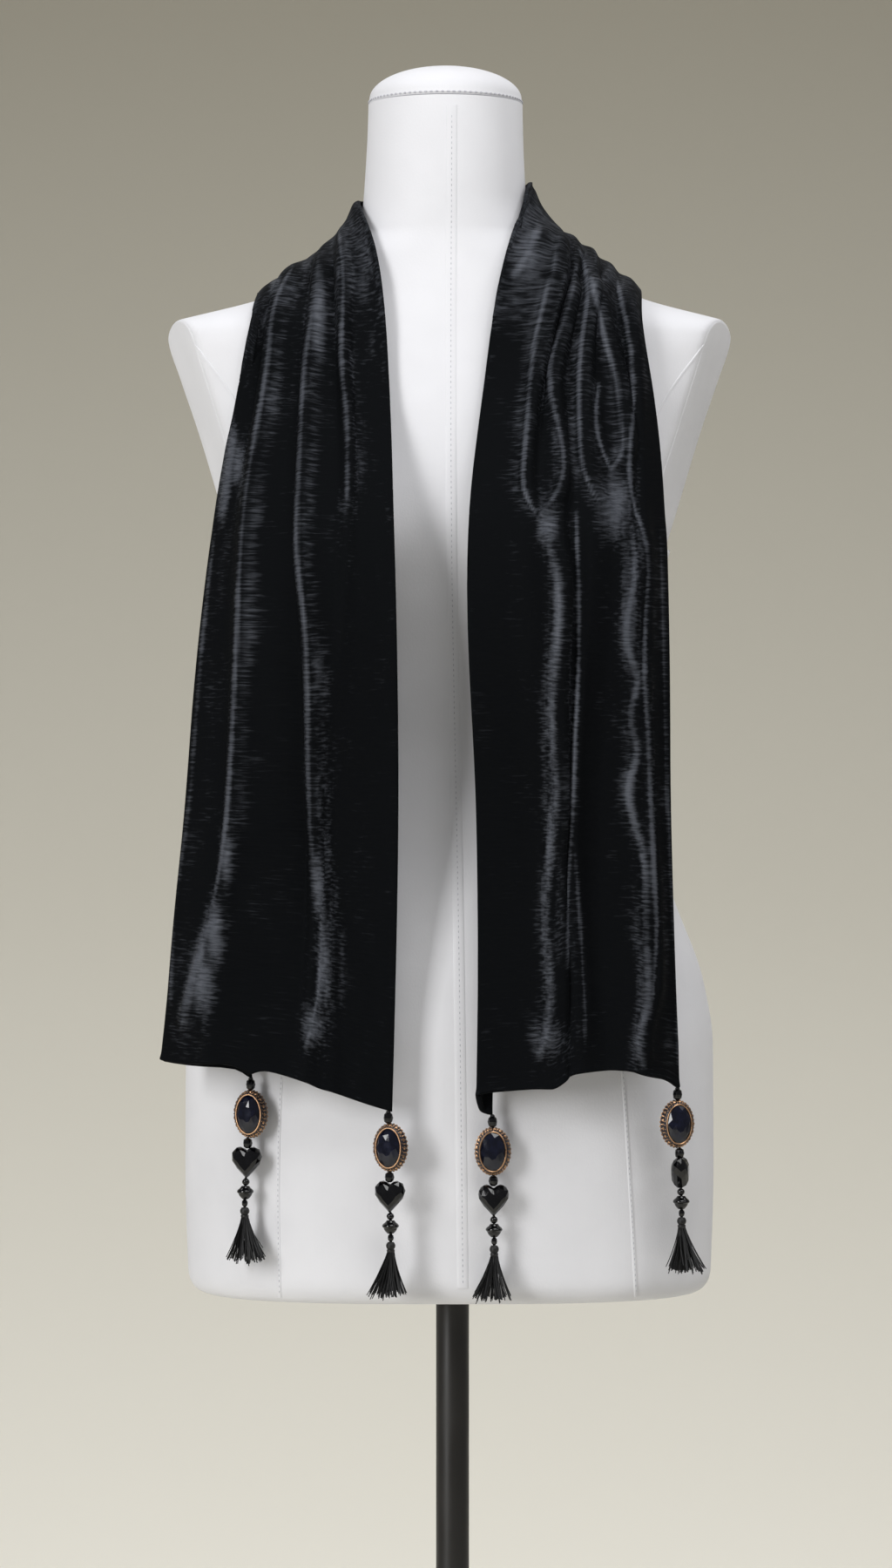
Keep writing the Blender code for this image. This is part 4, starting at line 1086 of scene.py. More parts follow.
def on_form(x, z, out, side):
    """The point above or behind the form at x and z, out from its surface. side is -1 in front, 1 behind."""
    x, z, out = np.broadcast_arrays(*(np.asarray(value, float) for value in (x, z, out)))
    origin = np.stack([x, np.zeros_like(x), z], axis=-1)
    surface = surface_along(origin, np.array([0.0, side, 0.0]), 170.0)
    normal, _ = form_normal(surface)
    return surface + normal * out[..., None]


def ring_heights(spacing):
    """Heights from floor to neck, evenly spaced along the form's side, closer at armholes and shoulders."""
    fine = np.linspace(FORM_FLOOR + 0.02, NECK_TOP, 1500)
    lengths = np.hypot(np.diff(fine), np.diff(form_section(fine)[0]))
    for (low, high), finer in ((SHOULDER_ZONE, SHOULDER_FINENESS), (ARM_ZONE, ARM_FINENESS)):
        lengths *= np.where((fine[1:] > low) & (fine[1:] < high), finer, 1.0)
    along = np.concatenate([[0], np.cumsum(lengths)])
    heights = np.interp(np.linspace(0, along[-1], int(along[-1] / spacing)), along, fine)
    rounded = FORM_FLOOR + FORM_FLOOR_ROUND * np.linspace(0, 1, 9) ** 2
    rounded[0] = fine[0]
    return np.concatenate([rounded, heights[heights > rounded[-1] + spacing / 2]])


def ring_angles(count):
    """Angles round the form, closer where its armhole faces have their edges."""
    fine = np.linspace(0, 2 * np.pi, 2000)
    from_side = np.abs(np.abs(np.mod(fine + np.pi / 2, np.pi) - np.pi / 2) - math.radians(ARM_EDGE_ANGLES[0]))
    density = 1 + ARM_EDGE_FINENESS * np.exp(-((from_side / math.radians(ARM_EDGE_ANGLES[1])) ** 2))
    share = np.concatenate([[0], np.cumsum((density[1:] + density[:-1]) / 2)])
    return np.interp(np.arange(count) * share[-1] / count, share, fine)


def torso_shape(settings):
    """The form's body: for each height a ring of points where level rays from its axis leave it."""
    heights = ring_heights(settings.ring_spacing / MM)
    ray = spokes(ring_angles(settings.sides))
    origin = np.zeros((len(heights), *ray.shape))
    origin[..., 2] = heights[:, None]
    return closed_rings(surface_along(origin, ray[None], 260.0), (0, 0, heights[0]), (0, 0, NECK_TOP))


def seam_band(seam):
    """A low flat band along one seam: a rounded cross-section carried down the form's surface."""
    bottom, top = seam["route"][[0, -1], 0]
    heights = np.linspace(bottom, top, int((top - bottom) / SEAM_STEP))
    across, out = SEAM_SECTION
    x = flowing(*seam["route"].T, heights)[:, None] + np.array(across) * seam["half_width"]
    outside = on_form(x, heights[:, None], np.array(out) * seam["raise"], seam["side"])
    under = on_form(x, heights[:, None], -SEAM_BURIED, seam["side"])
    return closed_rings(np.concatenate([outside, under[:, ::-1]], axis=1))


def stitch_row(seam):
    """Short raised stitches, one pitch apart, along the middle of a seam."""
    bottom, top = seam["route"][[0, -1], 0]
    heights = np.arange(bottom + SEAM_END, top - SEAM_END, STITCH_PITCH)
    centres = on_form(flowing(*seam["route"].T, heights), heights, seam["raise"] + STITCH_PROUD, seam["side"])
    half_width, half_length, half_height = STITCH_SIZE
    normal, _ = form_normal(centres)
    along = unit(np.gradient(centres, axis=0))
    axes = [np.cross(along, normal) * half_width, normal * half_height, along * half_length]
    return pebbles(centres, np.stack(axes, axis=1), 3, 6)


def neck_cap_shape(sides):
    """The padded dome on the neck and its stitches: a quarter ellipse turned about the neck, with a rounded
    rim below, and a row of stitches round the rim."""
    low, high = node_corners("neck_cap")
    middle_x, middle_y, _ = (low + high) / 2
    radius, tall, foot = (high[0] - low[0]) / 2, high[2] - low[2], low[2]
    angles = np.linspace(0, np.pi / 2, 22)
    rim = CAP_RIM_SHARE * tall
    dome = np.stack([radius * np.sin(angles), foot + rim + (tall - rim) * np.cos(angles)], axis=-1)
    lower = [(radius + 0.5, foot + rim * 0.5), (radius - 0.4, foot + 0.2), (radius - 1.6, foot), (0, foot)]
    cap = turned(np.concatenate([dome, lower]), sides, (middle_x, middle_y, 0.0))
    out = spokes(turns(int(2 * np.pi * radius / CAP_STITCH_PITCH)))
    up = np.broadcast_to([0.0, 0.0, 1.0], out.shape)
    centres = out * (radius + 0.5) + (middle_x, middle_y, foot + rim * 0.45)
    half_length, half_width, half_height = CAP_STITCH_SIZE
    axes = [np.cross(up, out) * half_length, up * half_width, out * half_height]
    return cap, pebbles(centres, np.stack(axes, axis=1))


def arm_plate_shape(side, count=160):
    """The oval plate that closes one armhole: the form's own outline, a little inside, with a soft edge."""
    rays = spokes(turns(count))[:, :2]

    def on_face(distance):
        y, z = (ARM_CENTRE + rays * distance[:, None]).T
        return np.stack([arm_edge(y, z), y, z], axis=-1)

    def inside(distance):
        face = on_face(distance)
        return (body_gap(face) < -ARM_INSET) & (face[:, 2] > ARM_FLOOR + ARM_INSET)

    outline = halving(inside, count, 140.0, 30)
    rings = np.stack([on_face(outline - inset) - (drop, 0, 0) for drop, inset in ARM_PLATE_EDGE])
    rings[..., 0] = (rings[..., 0] + ARM_PLATE_PROUD) * side
    return closed_rings(rings)


class OBJECT_OT_make_dress_form(Operator):
    """Build the form's body, its seams and stitches, its neck cap and its armhole plates"""

    bl_idname = "object.make_dress_form"
    bl_label = "Make dress form"

    def execute(self, context):
        settings = context.scene.form_looks
        cover = cotton_jersey(settings.jersey)
        thread = spun_thread("cover_thread", settings.stitch, 0.7)
        seams = list(rows_of(SEAM_COLUMNS, FORM_SEAMS))
        stitches = merged([stitch_row(seam) for seam in seams if seam["stitched"]])
        cap, cap_stitches = neck_cap_shape(128)
        add_piece("form_body", torso_shape(settings), cover, "jersey", "torso", sharp=50)
        add_piece("form_seams", merged([seam_band(seam) for seam in seams]), cover, "jersey")
        add_piece("form_stitches", stitches, thread, "jersey")
        add_piece("form_neck_cap", cap, cover, "cap", "neck_cap")
        add_piece("form_cap_stitches", cap_stitches, thread, "cap")
        for name, side in (("left", -1), ("right", 1)):
            plate = arm_plate_shape(side)
            add_piece(f"form_arm_plate_{name}", plate, cover, "jersey", f"arm_cap_{name}", sharp=60)
        return {"FINISHED"}


class OBJECT_OT_make_stand(Operator):
    """Build the pole, its collar and the round foot"""

    bl_idname = "object.make_form_stand"
    bl_label = "Make stand"

    def execute(self, context):
        settings = context.scene.stand_looks
        paint = powder_coated_steel(settings.paint)
        for node, corners, round_off in STAND_PROFILES:
            low, high = node_corners(node)
            size = np.array([(high[0] - low[0]) / 2, high[2] - low[2]])
            profile = arc_profile(np.array(corners, float) * size, round_off) + (0, low[2])
            centre = ((low[0] + high[0]) / 2, (low[1] + high[1]) / 2, 0.0)
            add_piece(f"painted_{node}", turned(profile, settings.sides, centre), paint, "stand", node)
        return {"FINISHED"}


# Scarf: the solids' middle surface, read finer, with creases laid on it

def drape_y(x, level):
    """How far forward the cloth hangs at x: level with its middle, and curved back towards the sides."""
    front, wrap = DRAPE[level]
    beyond = np.maximum(np.abs(x) - WRAP_START, 0.0) / WRAP_SPAN
    return -front + wrap * beyond**2


def front_levels(folds):
    """The control points of one front panel, for each level from hem to shoulder and each fold line."""
    count = len(folds)
    column = dict(zip(FOLD_COLUMNS[1:], np.array([row[1:] for row in folds], float).T))
    levels = []
    for level, word in ((HEM, "hem"), (WAIST, "waist"), (BUST, "bust")):
        x = column["x_" + word]
        z = column["z_hem"] if level == HEM else np.full(count, LEVEL_HEIGHTS[level])
        levels.append(np.stack([x, drape_y(x, level) - column["out_" + word], z], axis=-1))
    for word, heights in (("chest", (LEVEL_HEIGHTS[CHEST],) * 2), ("yoke", YOKE_HEIGHTS)):
        levels.append(on_form(column["x_" + word], np.linspace(*heights, count), column["out_" + word], -1))
    levels.append(np.stack([column["x_top"], np.linspace(*SHOULDER_Y, count), column["z_top"]], axis=-1))
    return levels


def nape_levels(left_top, right_top):
    """The control points round the back of the neck, from one shoulder to the other."""
    drop = NAPE_TOP - NAPE_DROP * np.linspace(0.0, 1.0, len(left_top))
    quarters = [
        on_form(top[:, 0] * QUARTER_IN, drop + QUARTER_RISE * (top[:, 2] - drop), NAPE_FOLDS, 1)
        for top in (left_top, right_top)
    ]
    return [quarters[0], on_form(0.0, drop, NAPE_FOLDS, 1), quarters[1]]


def scarf_levels():
    left = front_levels(LEFT_FOLDS)
    right = front_levels(RIGHT_FOLDS)
    return np.array([*left, *nape_levels(left[-1], right[-1]), *right[::-1]])


def level_places(levels):
    """How far each level is along the cloth from its first hem, on average over its lines."""
    gaps = np.linalg.norm(np.diff(levels, axis=0), axis=-1).mean(axis=1)
    return np.concatenate([[0.0], np.cumsum(gaps)])


def creases_on(points, panel, early):
    """For each crease of a panel: its row, how far aside of its route each point is, and how little it has
    faded there. early is how much of its fade lies beyond the route's two ends."""
    x, z = points[..., 0], points[..., 2]
    for crease in rows_of(CREASE_COLUMNS, CREASES):
        if crease["panel"] == panel:
            route = crease["route"]
            bottom, top = route[[0, -1], 0]
            ends = smooth_step((z - bottom) / crease["fade"] + early)
            ends = ends * smooth_step((top - z) / crease["fade"] + early)
            yield crease, x - flowing(*route.T, np.clip(z, bottom, top)), ends


def crease_lift(points, outer_share, panel):
    """How far creases raise each point: an uneven bell across each one's route, fading at its two ends."""
    lift = np.zeros(points.shape[:-1])
    for crease, aside, ends in creases_on(points, panel, 0.5):
        wide = np.where(aside < 0, crease["rise"], crease["fall"])
        lift += crease["height"] * np.exp(-((aside / wide) ** 2)) * ends
    return lift * outer_share


def gloss_and_painted_sheen_share(points, panel):
    """How glossy the pile is, and how much painted sheen, a lighter base colour standing for light
    caught on the velvet, it gets: more towards the shoulders, in a bell across each crease's left
    slope with a fainter one beside it, and in soft patches."""
    x, z = points[..., 0], points[..., 2]
    low, high = GLOSS_AND_PAINTED_SHEEN_HEIGHTS
    share = GLOSS_AND_PAINTED_SHEEN_BASE + GLOSS_AND_PAINTED_SHEEN_SHOULDER * smooth_step((z - low) / (high - low))
    most, change, wavelength = GLOSS_AND_PAINTED_SHEEN_CORE
    skirt_aside, skirt_width, skirt_strength, full_height = GLOSS_AND_PAINTED_SHEEN_SKIRT
    for crease, aside, ends in creases_on(points, panel, 0.7):
        slope = 0.5 * crease["rise"]
        wave = np.sin(z / wavelength + crease["route"][0, 1]) * np.sin(z / wavelength / 2.3 + crease["rise"])
        tall = crease["height"] / full_height
        strength = (most + change * (wave - 1)) * min(1.0, tall + 0.3)
        core = strength * np.exp(-(((aside + slope) / (slope + 0.45)) ** 2))
        beside = (aside + panel * skirt_aside) / skirt_width
        skirt = skirt_strength * min(1.0, tall) * np.exp(-(beside**2))
        share = np.maximum(share, np.maximum(core, skirt) * ends)
    for patch_panel, patch_x, patch_z, half_x, half_z, strength in GLOSS_AND_PAINTED_SHEEN_PATCHES:
        if patch_panel == panel:
            patch = strength * np.exp(-(((x - patch_x) / half_x) ** 2) - ((z - patch_z) / half_z) ** 2)
            share = np.maximum(share, patch)
    return share


def hem_rise(x, distance, panel):
    """How far the hem rises on both sides of its outer pendant, so that it comes to a point over the bead."""
    side = "left" if panel < 0 else "right"
    aside = np.abs(x - node_box(f"pendant_{side}_outer_top_bead")[0][0]) / CUSP_WIDTH
    point = np.exp(-((aside / CUSP_SPREAD) ** 2)) - np.exp(-(aside**CUSP_POINT))
    return CUSP_RISE * point * smooth_step(1 - distance / CUSP_REACH)


def flutter(across, along, panel):
    """Slow unevenness of hanging velvet: long waves down and across the cloth, and one swell."""
    u, v = across[None, :] * FLUTTER_PITCH, along[:, None]
    waves = sum(np.sin(v / down + u / over + turn * panel) * high for down, over, turn, high in FLUTTER_WAVES)
    down, over, turn, high = FLUTTER_SWELL
    return waves + np.sin(v / down + turn + panel) * np.sin(u / over) * high


def cloth_middle(across, along, panel):
    """The cloth's middle surface on a grid of line numbers across and distances along, with its creases."""
    levels = scarf_levels()
    places = level_places(levels)
    lines = monotone(np.swapaxes(levels, 0, 1), across)
    surface = keep_clear(flowing(places, np.swapaxes(lines, 0, 1), along), CLOTH_CLEAR + FLUTTER_ROOM, 3)
    normal = grid_normals(surface)
    toward_front = np.sign(-(normal[..., 1:2]).sum()) or 1.0
    lift = flutter(across, along, panel) * FLUTTER_SHARE
    if panel:
        within = OUTER_LINES_LEFT - across if panel < 0 else across - OUTER_LINES_RIGHT
        lift = lift + crease_lift(surface, smooth_step(within / OUTER_FADE), panel)
    surface = surface + normal * toward_front * lift[..., None]
    if panel:
        distance = along if panel < 0 else places[-1] - along
        surface[..., 2] += hem_rise(surface[..., 0], distance[:, None], panel)
    return keep_clear(surface, CLOTH_LEAST + FLUTTER_ROOM, 2)


def grid_normals(grid):
    """Unit normals of a grid of points, from the steps to each point's neighbours."""
    return unit(np.cross(np.gradient(grid, axis=0), np.gradient(grid, axis=1)))


def edge_profile(distance, reach):
    """A wall's half-thickness near its edge: a quarter circle, with a slight roll inside it."""
    round_off = np.sqrt(1 - (1 - np.clip(distance / reach, 0, 1)) ** 2)
    return round_off * (1 + ROLL_GAIN * np.exp(-((distance - reach) / ROLL_REACH) ** 2))


def wall_shape(middle, thick, shared, open_rows):
    """A wall on both sides of a grid of points. Where shared is true its two sides are one point, and each of
    open_rows, the first or the last, is closed by a flat end."""
    offset = grid_normals(middle) * thick[..., None]
    front = numbered(middle)
    back = front.copy()
    back[~shared] = front.size + np.arange((~shared).sum())
    points = np.concatenate([(middle + offset).reshape(-1, 3), (middle - offset)[~shared]])
    quads = [grid_quads(front), grid_quads(back)[:, ::-1]]
    triangles = [NO_TRIANGLES]
    for row in open_rows:
        over, under = (front[row], back[row]) if row else (front[row][::-1], back[row][::-1])
        strip = np.stack([over[:-1], over[1:], under[1:], under[:-1]], axis=-1)
        quads.append(strip[1:-1])
        triangles.append(np.array([[over[0], over[1], under[1]], [over[-2], over[-1], under[-2]]]))
    return outward((points, np.concatenate(quads), np.concatenate(triangles)))


def cloth_stretch(name, start, end, hems, panel, rows, settings, material):
    """One stretch of the scarf between two distances along it. hems says which of its ends are hems."""
    lines = len(LEFT_FOLDS) - 1
    edge, hem = np.array(EDGE_LINES), np.array(EDGE_MM)
    inside = np.linspace(edge[-1], lines - edge[-1], settings.columns)[1:-1]
    across = np.concatenate([edge, inside, lines - edge[::-1]])
    first = start + hem if hems[0] else np.array([start])
    last = end - hem[::-1] if hems[1] else np.array([end])
    along = np.concatenate([first, np.linspace(first[-1], last[0], rows)[1:-1], last])
    middle = cloth_middle(across, along, panel)
    side = edge_profile(np.minimum(across, lines - across), EDGE_LINES[3])
    thick = settings.wall / MM / 2 * side[None, :] * np.ones((len(along), 1))
    shared = np.zeros(middle.shape[:2], bool)
    shared[:, [0, -1]] = True
    for is_hem, distance, row in ((hems[0], along - start, 0), (hems[1], end - along, -1)):
        if is_hem:
            thick = thick * edge_profile(distance, EDGE_ROUND)[:, None]
            shared[row] = True
    open_rows = [row for row, is_hem in zip((0, -1), hems) if not is_hem]
    shape = wall_shape(middle, thick, shared, open_rows)
    piece = add_piece(f"velvet_{name}", shape, material, "velvet", f"scarf_{name}", sharp=70)
    place = np.stack(np.broadcast_arrays(across * LINE_PITCH, along[:, None]), axis=-1) * MM
    # The share of gloss and painted sheen: where it is high the velvet's colour is painted lighter
    add_cloth_layers(piece.data, place, gloss_and_painted_sheen_share(middle, panel), ~shared)
    return piece


def add_cloth_layers(mesh, place, gleam, twice):
    """The cloth's UV map in metres, across by line spacing and along by distance, and the share of
    gloss and painted sheen of its pile, a lighter base colour painted where light catches the velvet.
    Points where twice is true are on both sides of the wall."""
    place = np.concatenate([place.reshape(-1, 2), place[twice]])
    numbers = np.zeros(len(mesh.loops), np.int32)
    mesh.loops.foreach_get("vertex_index", numbers)
    mesh.uv_layers.new(name="cloth").uv.foreach_set("vector", place[numbers].astype(np.float32).ravel())
    gleam = np.concatenate([gleam.reshape(-1), gleam[twice]])
    mesh.attributes.new("gleam", "FLOAT", "POINT").data.foreach_set("value", gleam.astype(np.float32))


class OBJECT_OT_make_velvet_scarf(Operator):
    """Build the two fronts of the scarf and the stretch round the neck"""

    bl_idname = "object.make_velvet_scarf"
    bl_label = "Make velvet scarf"

    def execute(self, context):
        settings = context.scene.scarf_looks
        material = panne_velvet(settings.pile, settings.painted_sheen_colour, settings.sheen)
        stops = level_places(scarf_levels())
        left_top, right_top = stops[SHOULDER], stops[-1 - SHOULDER]
        for name, start, end, hems, panel, rows in (
            ("front_left", 0.0, left_top, (True, False), -1, settings.front_rows),
            ("neck", left_top, right_top, (False, False), 0, settings.neck_rows),
            ("front_right", right_top, stops[-1], (False, True), 1, settings.front_rows),
        ):
            piece = cloth_stretch(name, start, end, hems, panel, rows, settings, material)
        return {"FINISHED"}


# Pendants: each one's turn and the lean of its tassel; their places come from the solids' own boxes

PENDANT_COLUMNS = ("corner", "turn", "tassel_lean", "heart_turn")
PENDANTS = (
    ("left_outer", -20.0, 0.0, -12.0),
    ("left_inner", -20.0, -0.10, -12.0),
    ("right_inner", 0.0, -0.08, 0.0),
    ("right_outer", 18.0, 0.13, 82.0),
)
STRINGING = (
    "top_bead", "cameo_frame", "middle_bead", "heart_bead", "round_bead", "saucer_bead", "end_bead", "tassel",
)


def pendants():
    """Each pendant's row as a dictionary, with the start of its nodes' names."""
    for pendant in rows_of(PENDANT_COLUMNS, PENDANTS):
        yield pendant, f"pendant_{pendant['corner']}"


def half_steps(rows, count):
    """Angles round each row, every second row half a step ahead."""
    return turns(count, 0.5 * (np.arange(rows)[:, None] % 2))


def faceted(x, y, z):
    """A closed surface of triangular facets through rows of points, every second row half a step ahead."""
    grid = np.stack(np.broadcast_arrays(x, y, z), axis=-1)
    numbers = numbered(grid)
    ahead = np.roll(numbers, -1, axis=1)
    faces = []
    for row in range(len(grid) - 1):
        here, here_next, there, there_next = numbers[row], ahead[row], numbers[row + 1], ahead[row + 1]
        if row % 2 == 0:
            faces += [(here, here_next, there), (here_next, there_next, there)]
        else:
            faces += [(here, here_next, there_next), (here, there_next, there)]
    first = np.full(grid.shape[1], numbers.size)
    faces += [(ahead[0], numbers[0], first), (numbers[-1], ahead[-1], first + 1)]
    points = np.concatenate([grid.reshape(-1, 3), [grid[0].mean(axis=0)], [grid[-1].mean(axis=0)]])
    return outward((points, NO_QUADS, np.concatenate([np.stack(face, axis=-1) for face in faces])))


def cut_bead(size, count=8):
    """A cut bead: rows of facets on a rounded barrel, flat at both ends."""
    heights, radii = (np.array(row)[:, None] for row in BEAD_ROWS)
    angles = half_steps(len(radii), count)
    radius = size[0] / 2
    return faceted(radius * radii * np.cos(angles), radius * radii * np.sin(angles), size[2] / 2 * heights)


def smooth_bead(size, count=28):
    """A moulded bead: an ellipse turned about its hole, flat where the hole opens."""
    angles = np.linspace(BEAD_HOLE, np.pi - BEAD_HOLE, 15)
    radius, half = size[0] / 2, size[2] / 2
    rings = np.stack([radius * np.sin(angles), half * np.cos(angles) / math.cos(BEAD_HOLE)], axis=-1)
    return turned(np.concatenate([[(0, half)], rings, [(0, -half)]]), count)


def saucer_bead(size, count=36):
    """A disc with a soft round rim over a small hollow-sided cone."""
    return turned(arc_profile(np.array(SAUCER_PROFILE) * (size[0] / 2, size[2] / 2), 0.5, 4), count)


def heart_outline(angles, scale):
    """Points round a heart: x follows sin cubed with some sin, and z a sum of cosines, fitted to its size."""
    x = 0.74 * np.sin(angles) ** 3 + 0.26 * np.sin(angles)
    z = 13 * np.cos(angles) - 3.2 * np.cos(2 * angles) - 1.4 * np.cos(3 * angles) - 0.6 * np.cos(4 * angles)
    z /= 29
    return x * HEART_SIZE[0] / 2 * scale, (z + HEART_MIDDLE) / HEART_SPAN * HEART_SIZE[1] * scale


def cut_heart(count=16):
    """A cut heart: a flat table on each face, and round it facets down to a narrow upright girdle."""
    scales, depths = (np.array(row)[:, None] for row in HEART_ROWS)
    x, z = heart_outline(half_steps(len(scales), count) + np.pi / count, scales)
    return faceted(x, depths * (HEART_SIZE[2] / 2), z)


def oval(half_width, half_height, depth, angles):
    """An upright oval facing forward: x and z follow cosine and sine, and depth is towards the front."""
    half_width, half_height, depth = (
        np.asarray(value, float)[..., None] for value in (half_width, half_height, depth)
    )
    x, z = half_width * np.cos(angles), half_height * np.sin(angles)
    return np.stack(np.broadcast_arrays(x, -depth, z), axis=-1)


def cameo_mount():
    """The mount: ovals over its back, round its edge, up its sloping rim and into the stone's recess."""
    return closed_rings(oval(*np.array(CAMEO_SECTION).T, turns(96)))


def oval_ring(half_width, half_height, depth, radius, count=96, sides=10):
    """A round wire carried round an oval."""
    angles = turns(count)
    path = oval(half_width, half_height, depth, angles)
    out = np.stack([np.cos(angles) / half_width, np.zeros(count), np.sin(angles) / half_height], axis=-1)
    out = unit(out)
    turn = turns(sides)[:, None]
    points = path[:, None] + (out[:, None] * np.cos(turn) + np.array([0, 1, 0]) * np.sin(turn)) * radius
    numbers = numbered(points)
    numbers = np.concatenate([numbers, numbers[:1]])
    return outward((points.reshape(-1, 3), grid_quads(numbers, around=True), NO_TRIANGLES))


def oval_dots(half_width, half_height, depth, count, lengths, phase=0.0):
    """Raised dots on the sloping rim, one every step round an oval: long, wide and high as lengths says."""
    angles = turns(count, phase)
    along = np.stack([-half_width * np.sin(angles), np.zeros(count), half_height * np.cos(angles)], axis=-1)
    along = unit(along)
    aside = unit(np.stack([along[:, 2], np.full(count, RIM_SLOPE), -along[:, 0]], axis=-1))
    out = np.cross(along, aside)
    axes = np.stack([along * lengths[0], aside * lengths[1], out * lengths[2]], axis=1)
    return pebbles(oval(half_width, half_height, depth, angles), axes)


def cut_stone():
    """A domed oval stone cut in a chequer of three-cornered facets, smaller towards its middle."""
    scales, depths = (np.array(row)[:, None] for row in STONE_ROWS)
    angles = half_steps(len(scales), 9)
    half_width, half_height = CAMEO_STONE
    return faceted(scales * half_width * np.cos(angles), -depths, scales * half_height * np.sin(angles))


def tassel_head():
    """The bound head and neck: a turned bulb with the ridges of its wound thread, over a cone of thread."""
    heights = np.linspace(0, -TASSEL_HEAD, 44)[1:]
    share = -heights / TASSEL_HEAD
    bulb = 1.5 + 1.4 * np.sin(np.pi * np.clip(share * 1.25, 0, 1)) ** 0.7
    neck = np.where(share > 0.78, 2.45, 0.0)
    radii = np.maximum(bulb, neck) + 0.13 * np.abs(np.sin(np.pi * heights / THREAD_WIND))
    cone = [(radius, -TASSEL_HEAD - below) for radius, below in TASSEL_CONE]
    return turned(np.concatenate([[(0, 0)], np.stack([radii, heights], axis=-1), cone]), 32)


def tassel_skirt(strands, lean, seed):
    """The free threads: each a three-sided strand from the neck to its own place on a disc at the skirt's
    foot, spreading ever faster, with a slow sideways wave."""
    chance = np.random.default_rng(seed)
    steps = np.linspace(0, 1, 8)
    turn = chance.uniform(0, 2 * np.pi, strands)[:, None]
    reach = np.sqrt(chance.uniform(0.02, 1.0, strands))
    length = TASSEL_SKIRT + chance.normal(0, 1.5, strands) - 1.8 * reach**2
    root = 2.1 * reach
    tip = TASSEL_SKIRT_RADIUS * reach + chance.normal(0, 0.6, strands)
    radius = root[:, None] + (tip - root)[:, None] * (0.35 * steps + 0.65 * steps**1.5)
    swing = chance.normal(0, 0.7, strands)[:, None]
    wave = swing * np.sin(np.pi * steps * chance.uniform(0.8, 1.6, strands)[:, None])
    down = length[:, None] * steps
    x = radius * np.cos(turn) - wave * np.sin(turn) + lean * down
    y = radius * np.sin(turn) + wave * np.cos(turn)
    path = np.stack([x, y, -TASSEL_HEAD - down], axis=-1)
    points = (path[:, :, None] + spokes(turns(3)) * STRAND_RADIUS).reshape(strands, -1, 3)
    last = len(steps) * 3
    ends = np.array([[0, 1, 2], [last - 1, last - 2, last - 3]])
    one = outward((points[0], grid_quads(np.arange(last).reshape(-1, 3), around=True), ends))
    return copied(points, one[1], one[2])


class OBJECT_OT_make_beads(Operator):
    """Build the black glass beads, hearts and saucers of the four pendants, with the knots between them"""

    bl_idname = "object.make_pendant_beads"
    bl_label = "Make pendant beads"

    def execute(self, context):
        settings = context.scene.pendant_looks
        jet = cut_glass("pressed_jet_glass", settings.jet, 2.0)
        cord = spun_thread("bead_cord", settings.thread, 0.6)
        for pendant, prefix in pendants():
            bead_turn = pendant["turn"] + 9.0
            for suffix, make, turn, smooth in (
                ("top_bead", cut_bead, bead_turn, False),
                ("middle_bead", cut_bead, bead_turn, False),
                ("round_bead", smooth_bead, bead_turn, True),
                ("saucer_bead", saucer_bead, bead_turn, True),
                ("end_bead", cut_bead, bead_turn, False),
                ("heart_bead", lambda size: cut_heart(), pendant["heart_turn"], False),
            ):
                node = f"{prefix}_{suffix}"
                centre, size = node_box(node)
                add_piece(f"jet_{node}", placed(make(size), centre, turn), jet, "jet", node, smooth)
            boxes = [node_box(f"{prefix}_{suffix}") for suffix in STRINGING]
            knots = np.array([middle + (0, 0, size[2] / 2) + (0, 0, KNOT_RISE) for middle, size in boxes])
            knots[-1, :2] = knots[-2, :2]
            axes = np.broadcast_to(np.diag(KNOT_SIZE), (len(knots), 3, 3)).copy()
            axes[0] *= TOP_KNOT
            add_piece(f"knots_{prefix}", pebbles(knots, axes, 6, 12), cord, "thread")
        return {"FINISHED"}


class OBJECT_OT_make_cameos(Operator):
    """Build the four oval cameos: the mount with its ornament and bright ring, and the cut stone"""

    bl_idname = "object.make_cameos"
    bl_label = "Make cameos"

    def execute(self, context):
        settings = context.scene.pendant_looks
        enamel = dark_enamel(settings.enamel)
        gilt = antique_gilt("rubbed_gilt_ornament", settings.gilt, 0.3)
        bright = antique_gilt("bright_gilt_ring", settings.gilt, 0.8)
        stone = cut_glass("cut_navy_glass", settings.stone, 2.0)
        ornament = merged([oval_dots(*row) for row in CAMEO_ORNAMENT])
        rings = merged([oval_ring(*row) for row in CAMEO_WIRES])
        for pendant, prefix in pendants():
            centre, _ = node_box(f"{prefix}_cameo_frame")
            for word, shape, material, slot, node, smooth, sharp in (
                ("mount", cameo_mount(), enamel, "gold", f"{prefix}_cameo_frame", True, 50),
                ("ornament", ornament, gilt, "gold", None, True, 35),
                ("ring", rings, bright, "gold", None, True, 35),
                ("stone", cut_stone(), stone, "stone", f"{prefix}_cameo_stone", False, 35),
            ):
                shape = placed(shape, centre, pendant["turn"])
                add_piece(f"{word}_{prefix}", shape, material, slot, node, smooth, sharp)
        return {"FINISHED"}


class OBJECT_OT_make_tassels(Operator):
    """Build the four thread tassels: a wound head and a skirt of free threads"""

    bl_idname = "object.make_tassels"
    bl_label = "Make tassels"

    def execute(self, context):
        settings = context.scene.pendant_looks
        thread = spun_thread("viscose_tassel_thread", settings.thread, 0.45)
        for seed, (pendant, prefix) in enumerate(pendants()):
            node = f"{prefix}_tassel"
            above, _ = node_box(f"{prefix}_end_bead")
            centre, size = node_box(node)
            spot = (above[0], above[1], centre[2] + size[2] / 2)
            tassel = merged([tassel_head(), tassel_skirt(settings.strands, pendant["tassel_lean"], seed)])
            add_piece(f"threads_{node}", placed(tassel, spot), thread, "thread", node, sharp=60)
        return {"FINISHED"}


# Stage

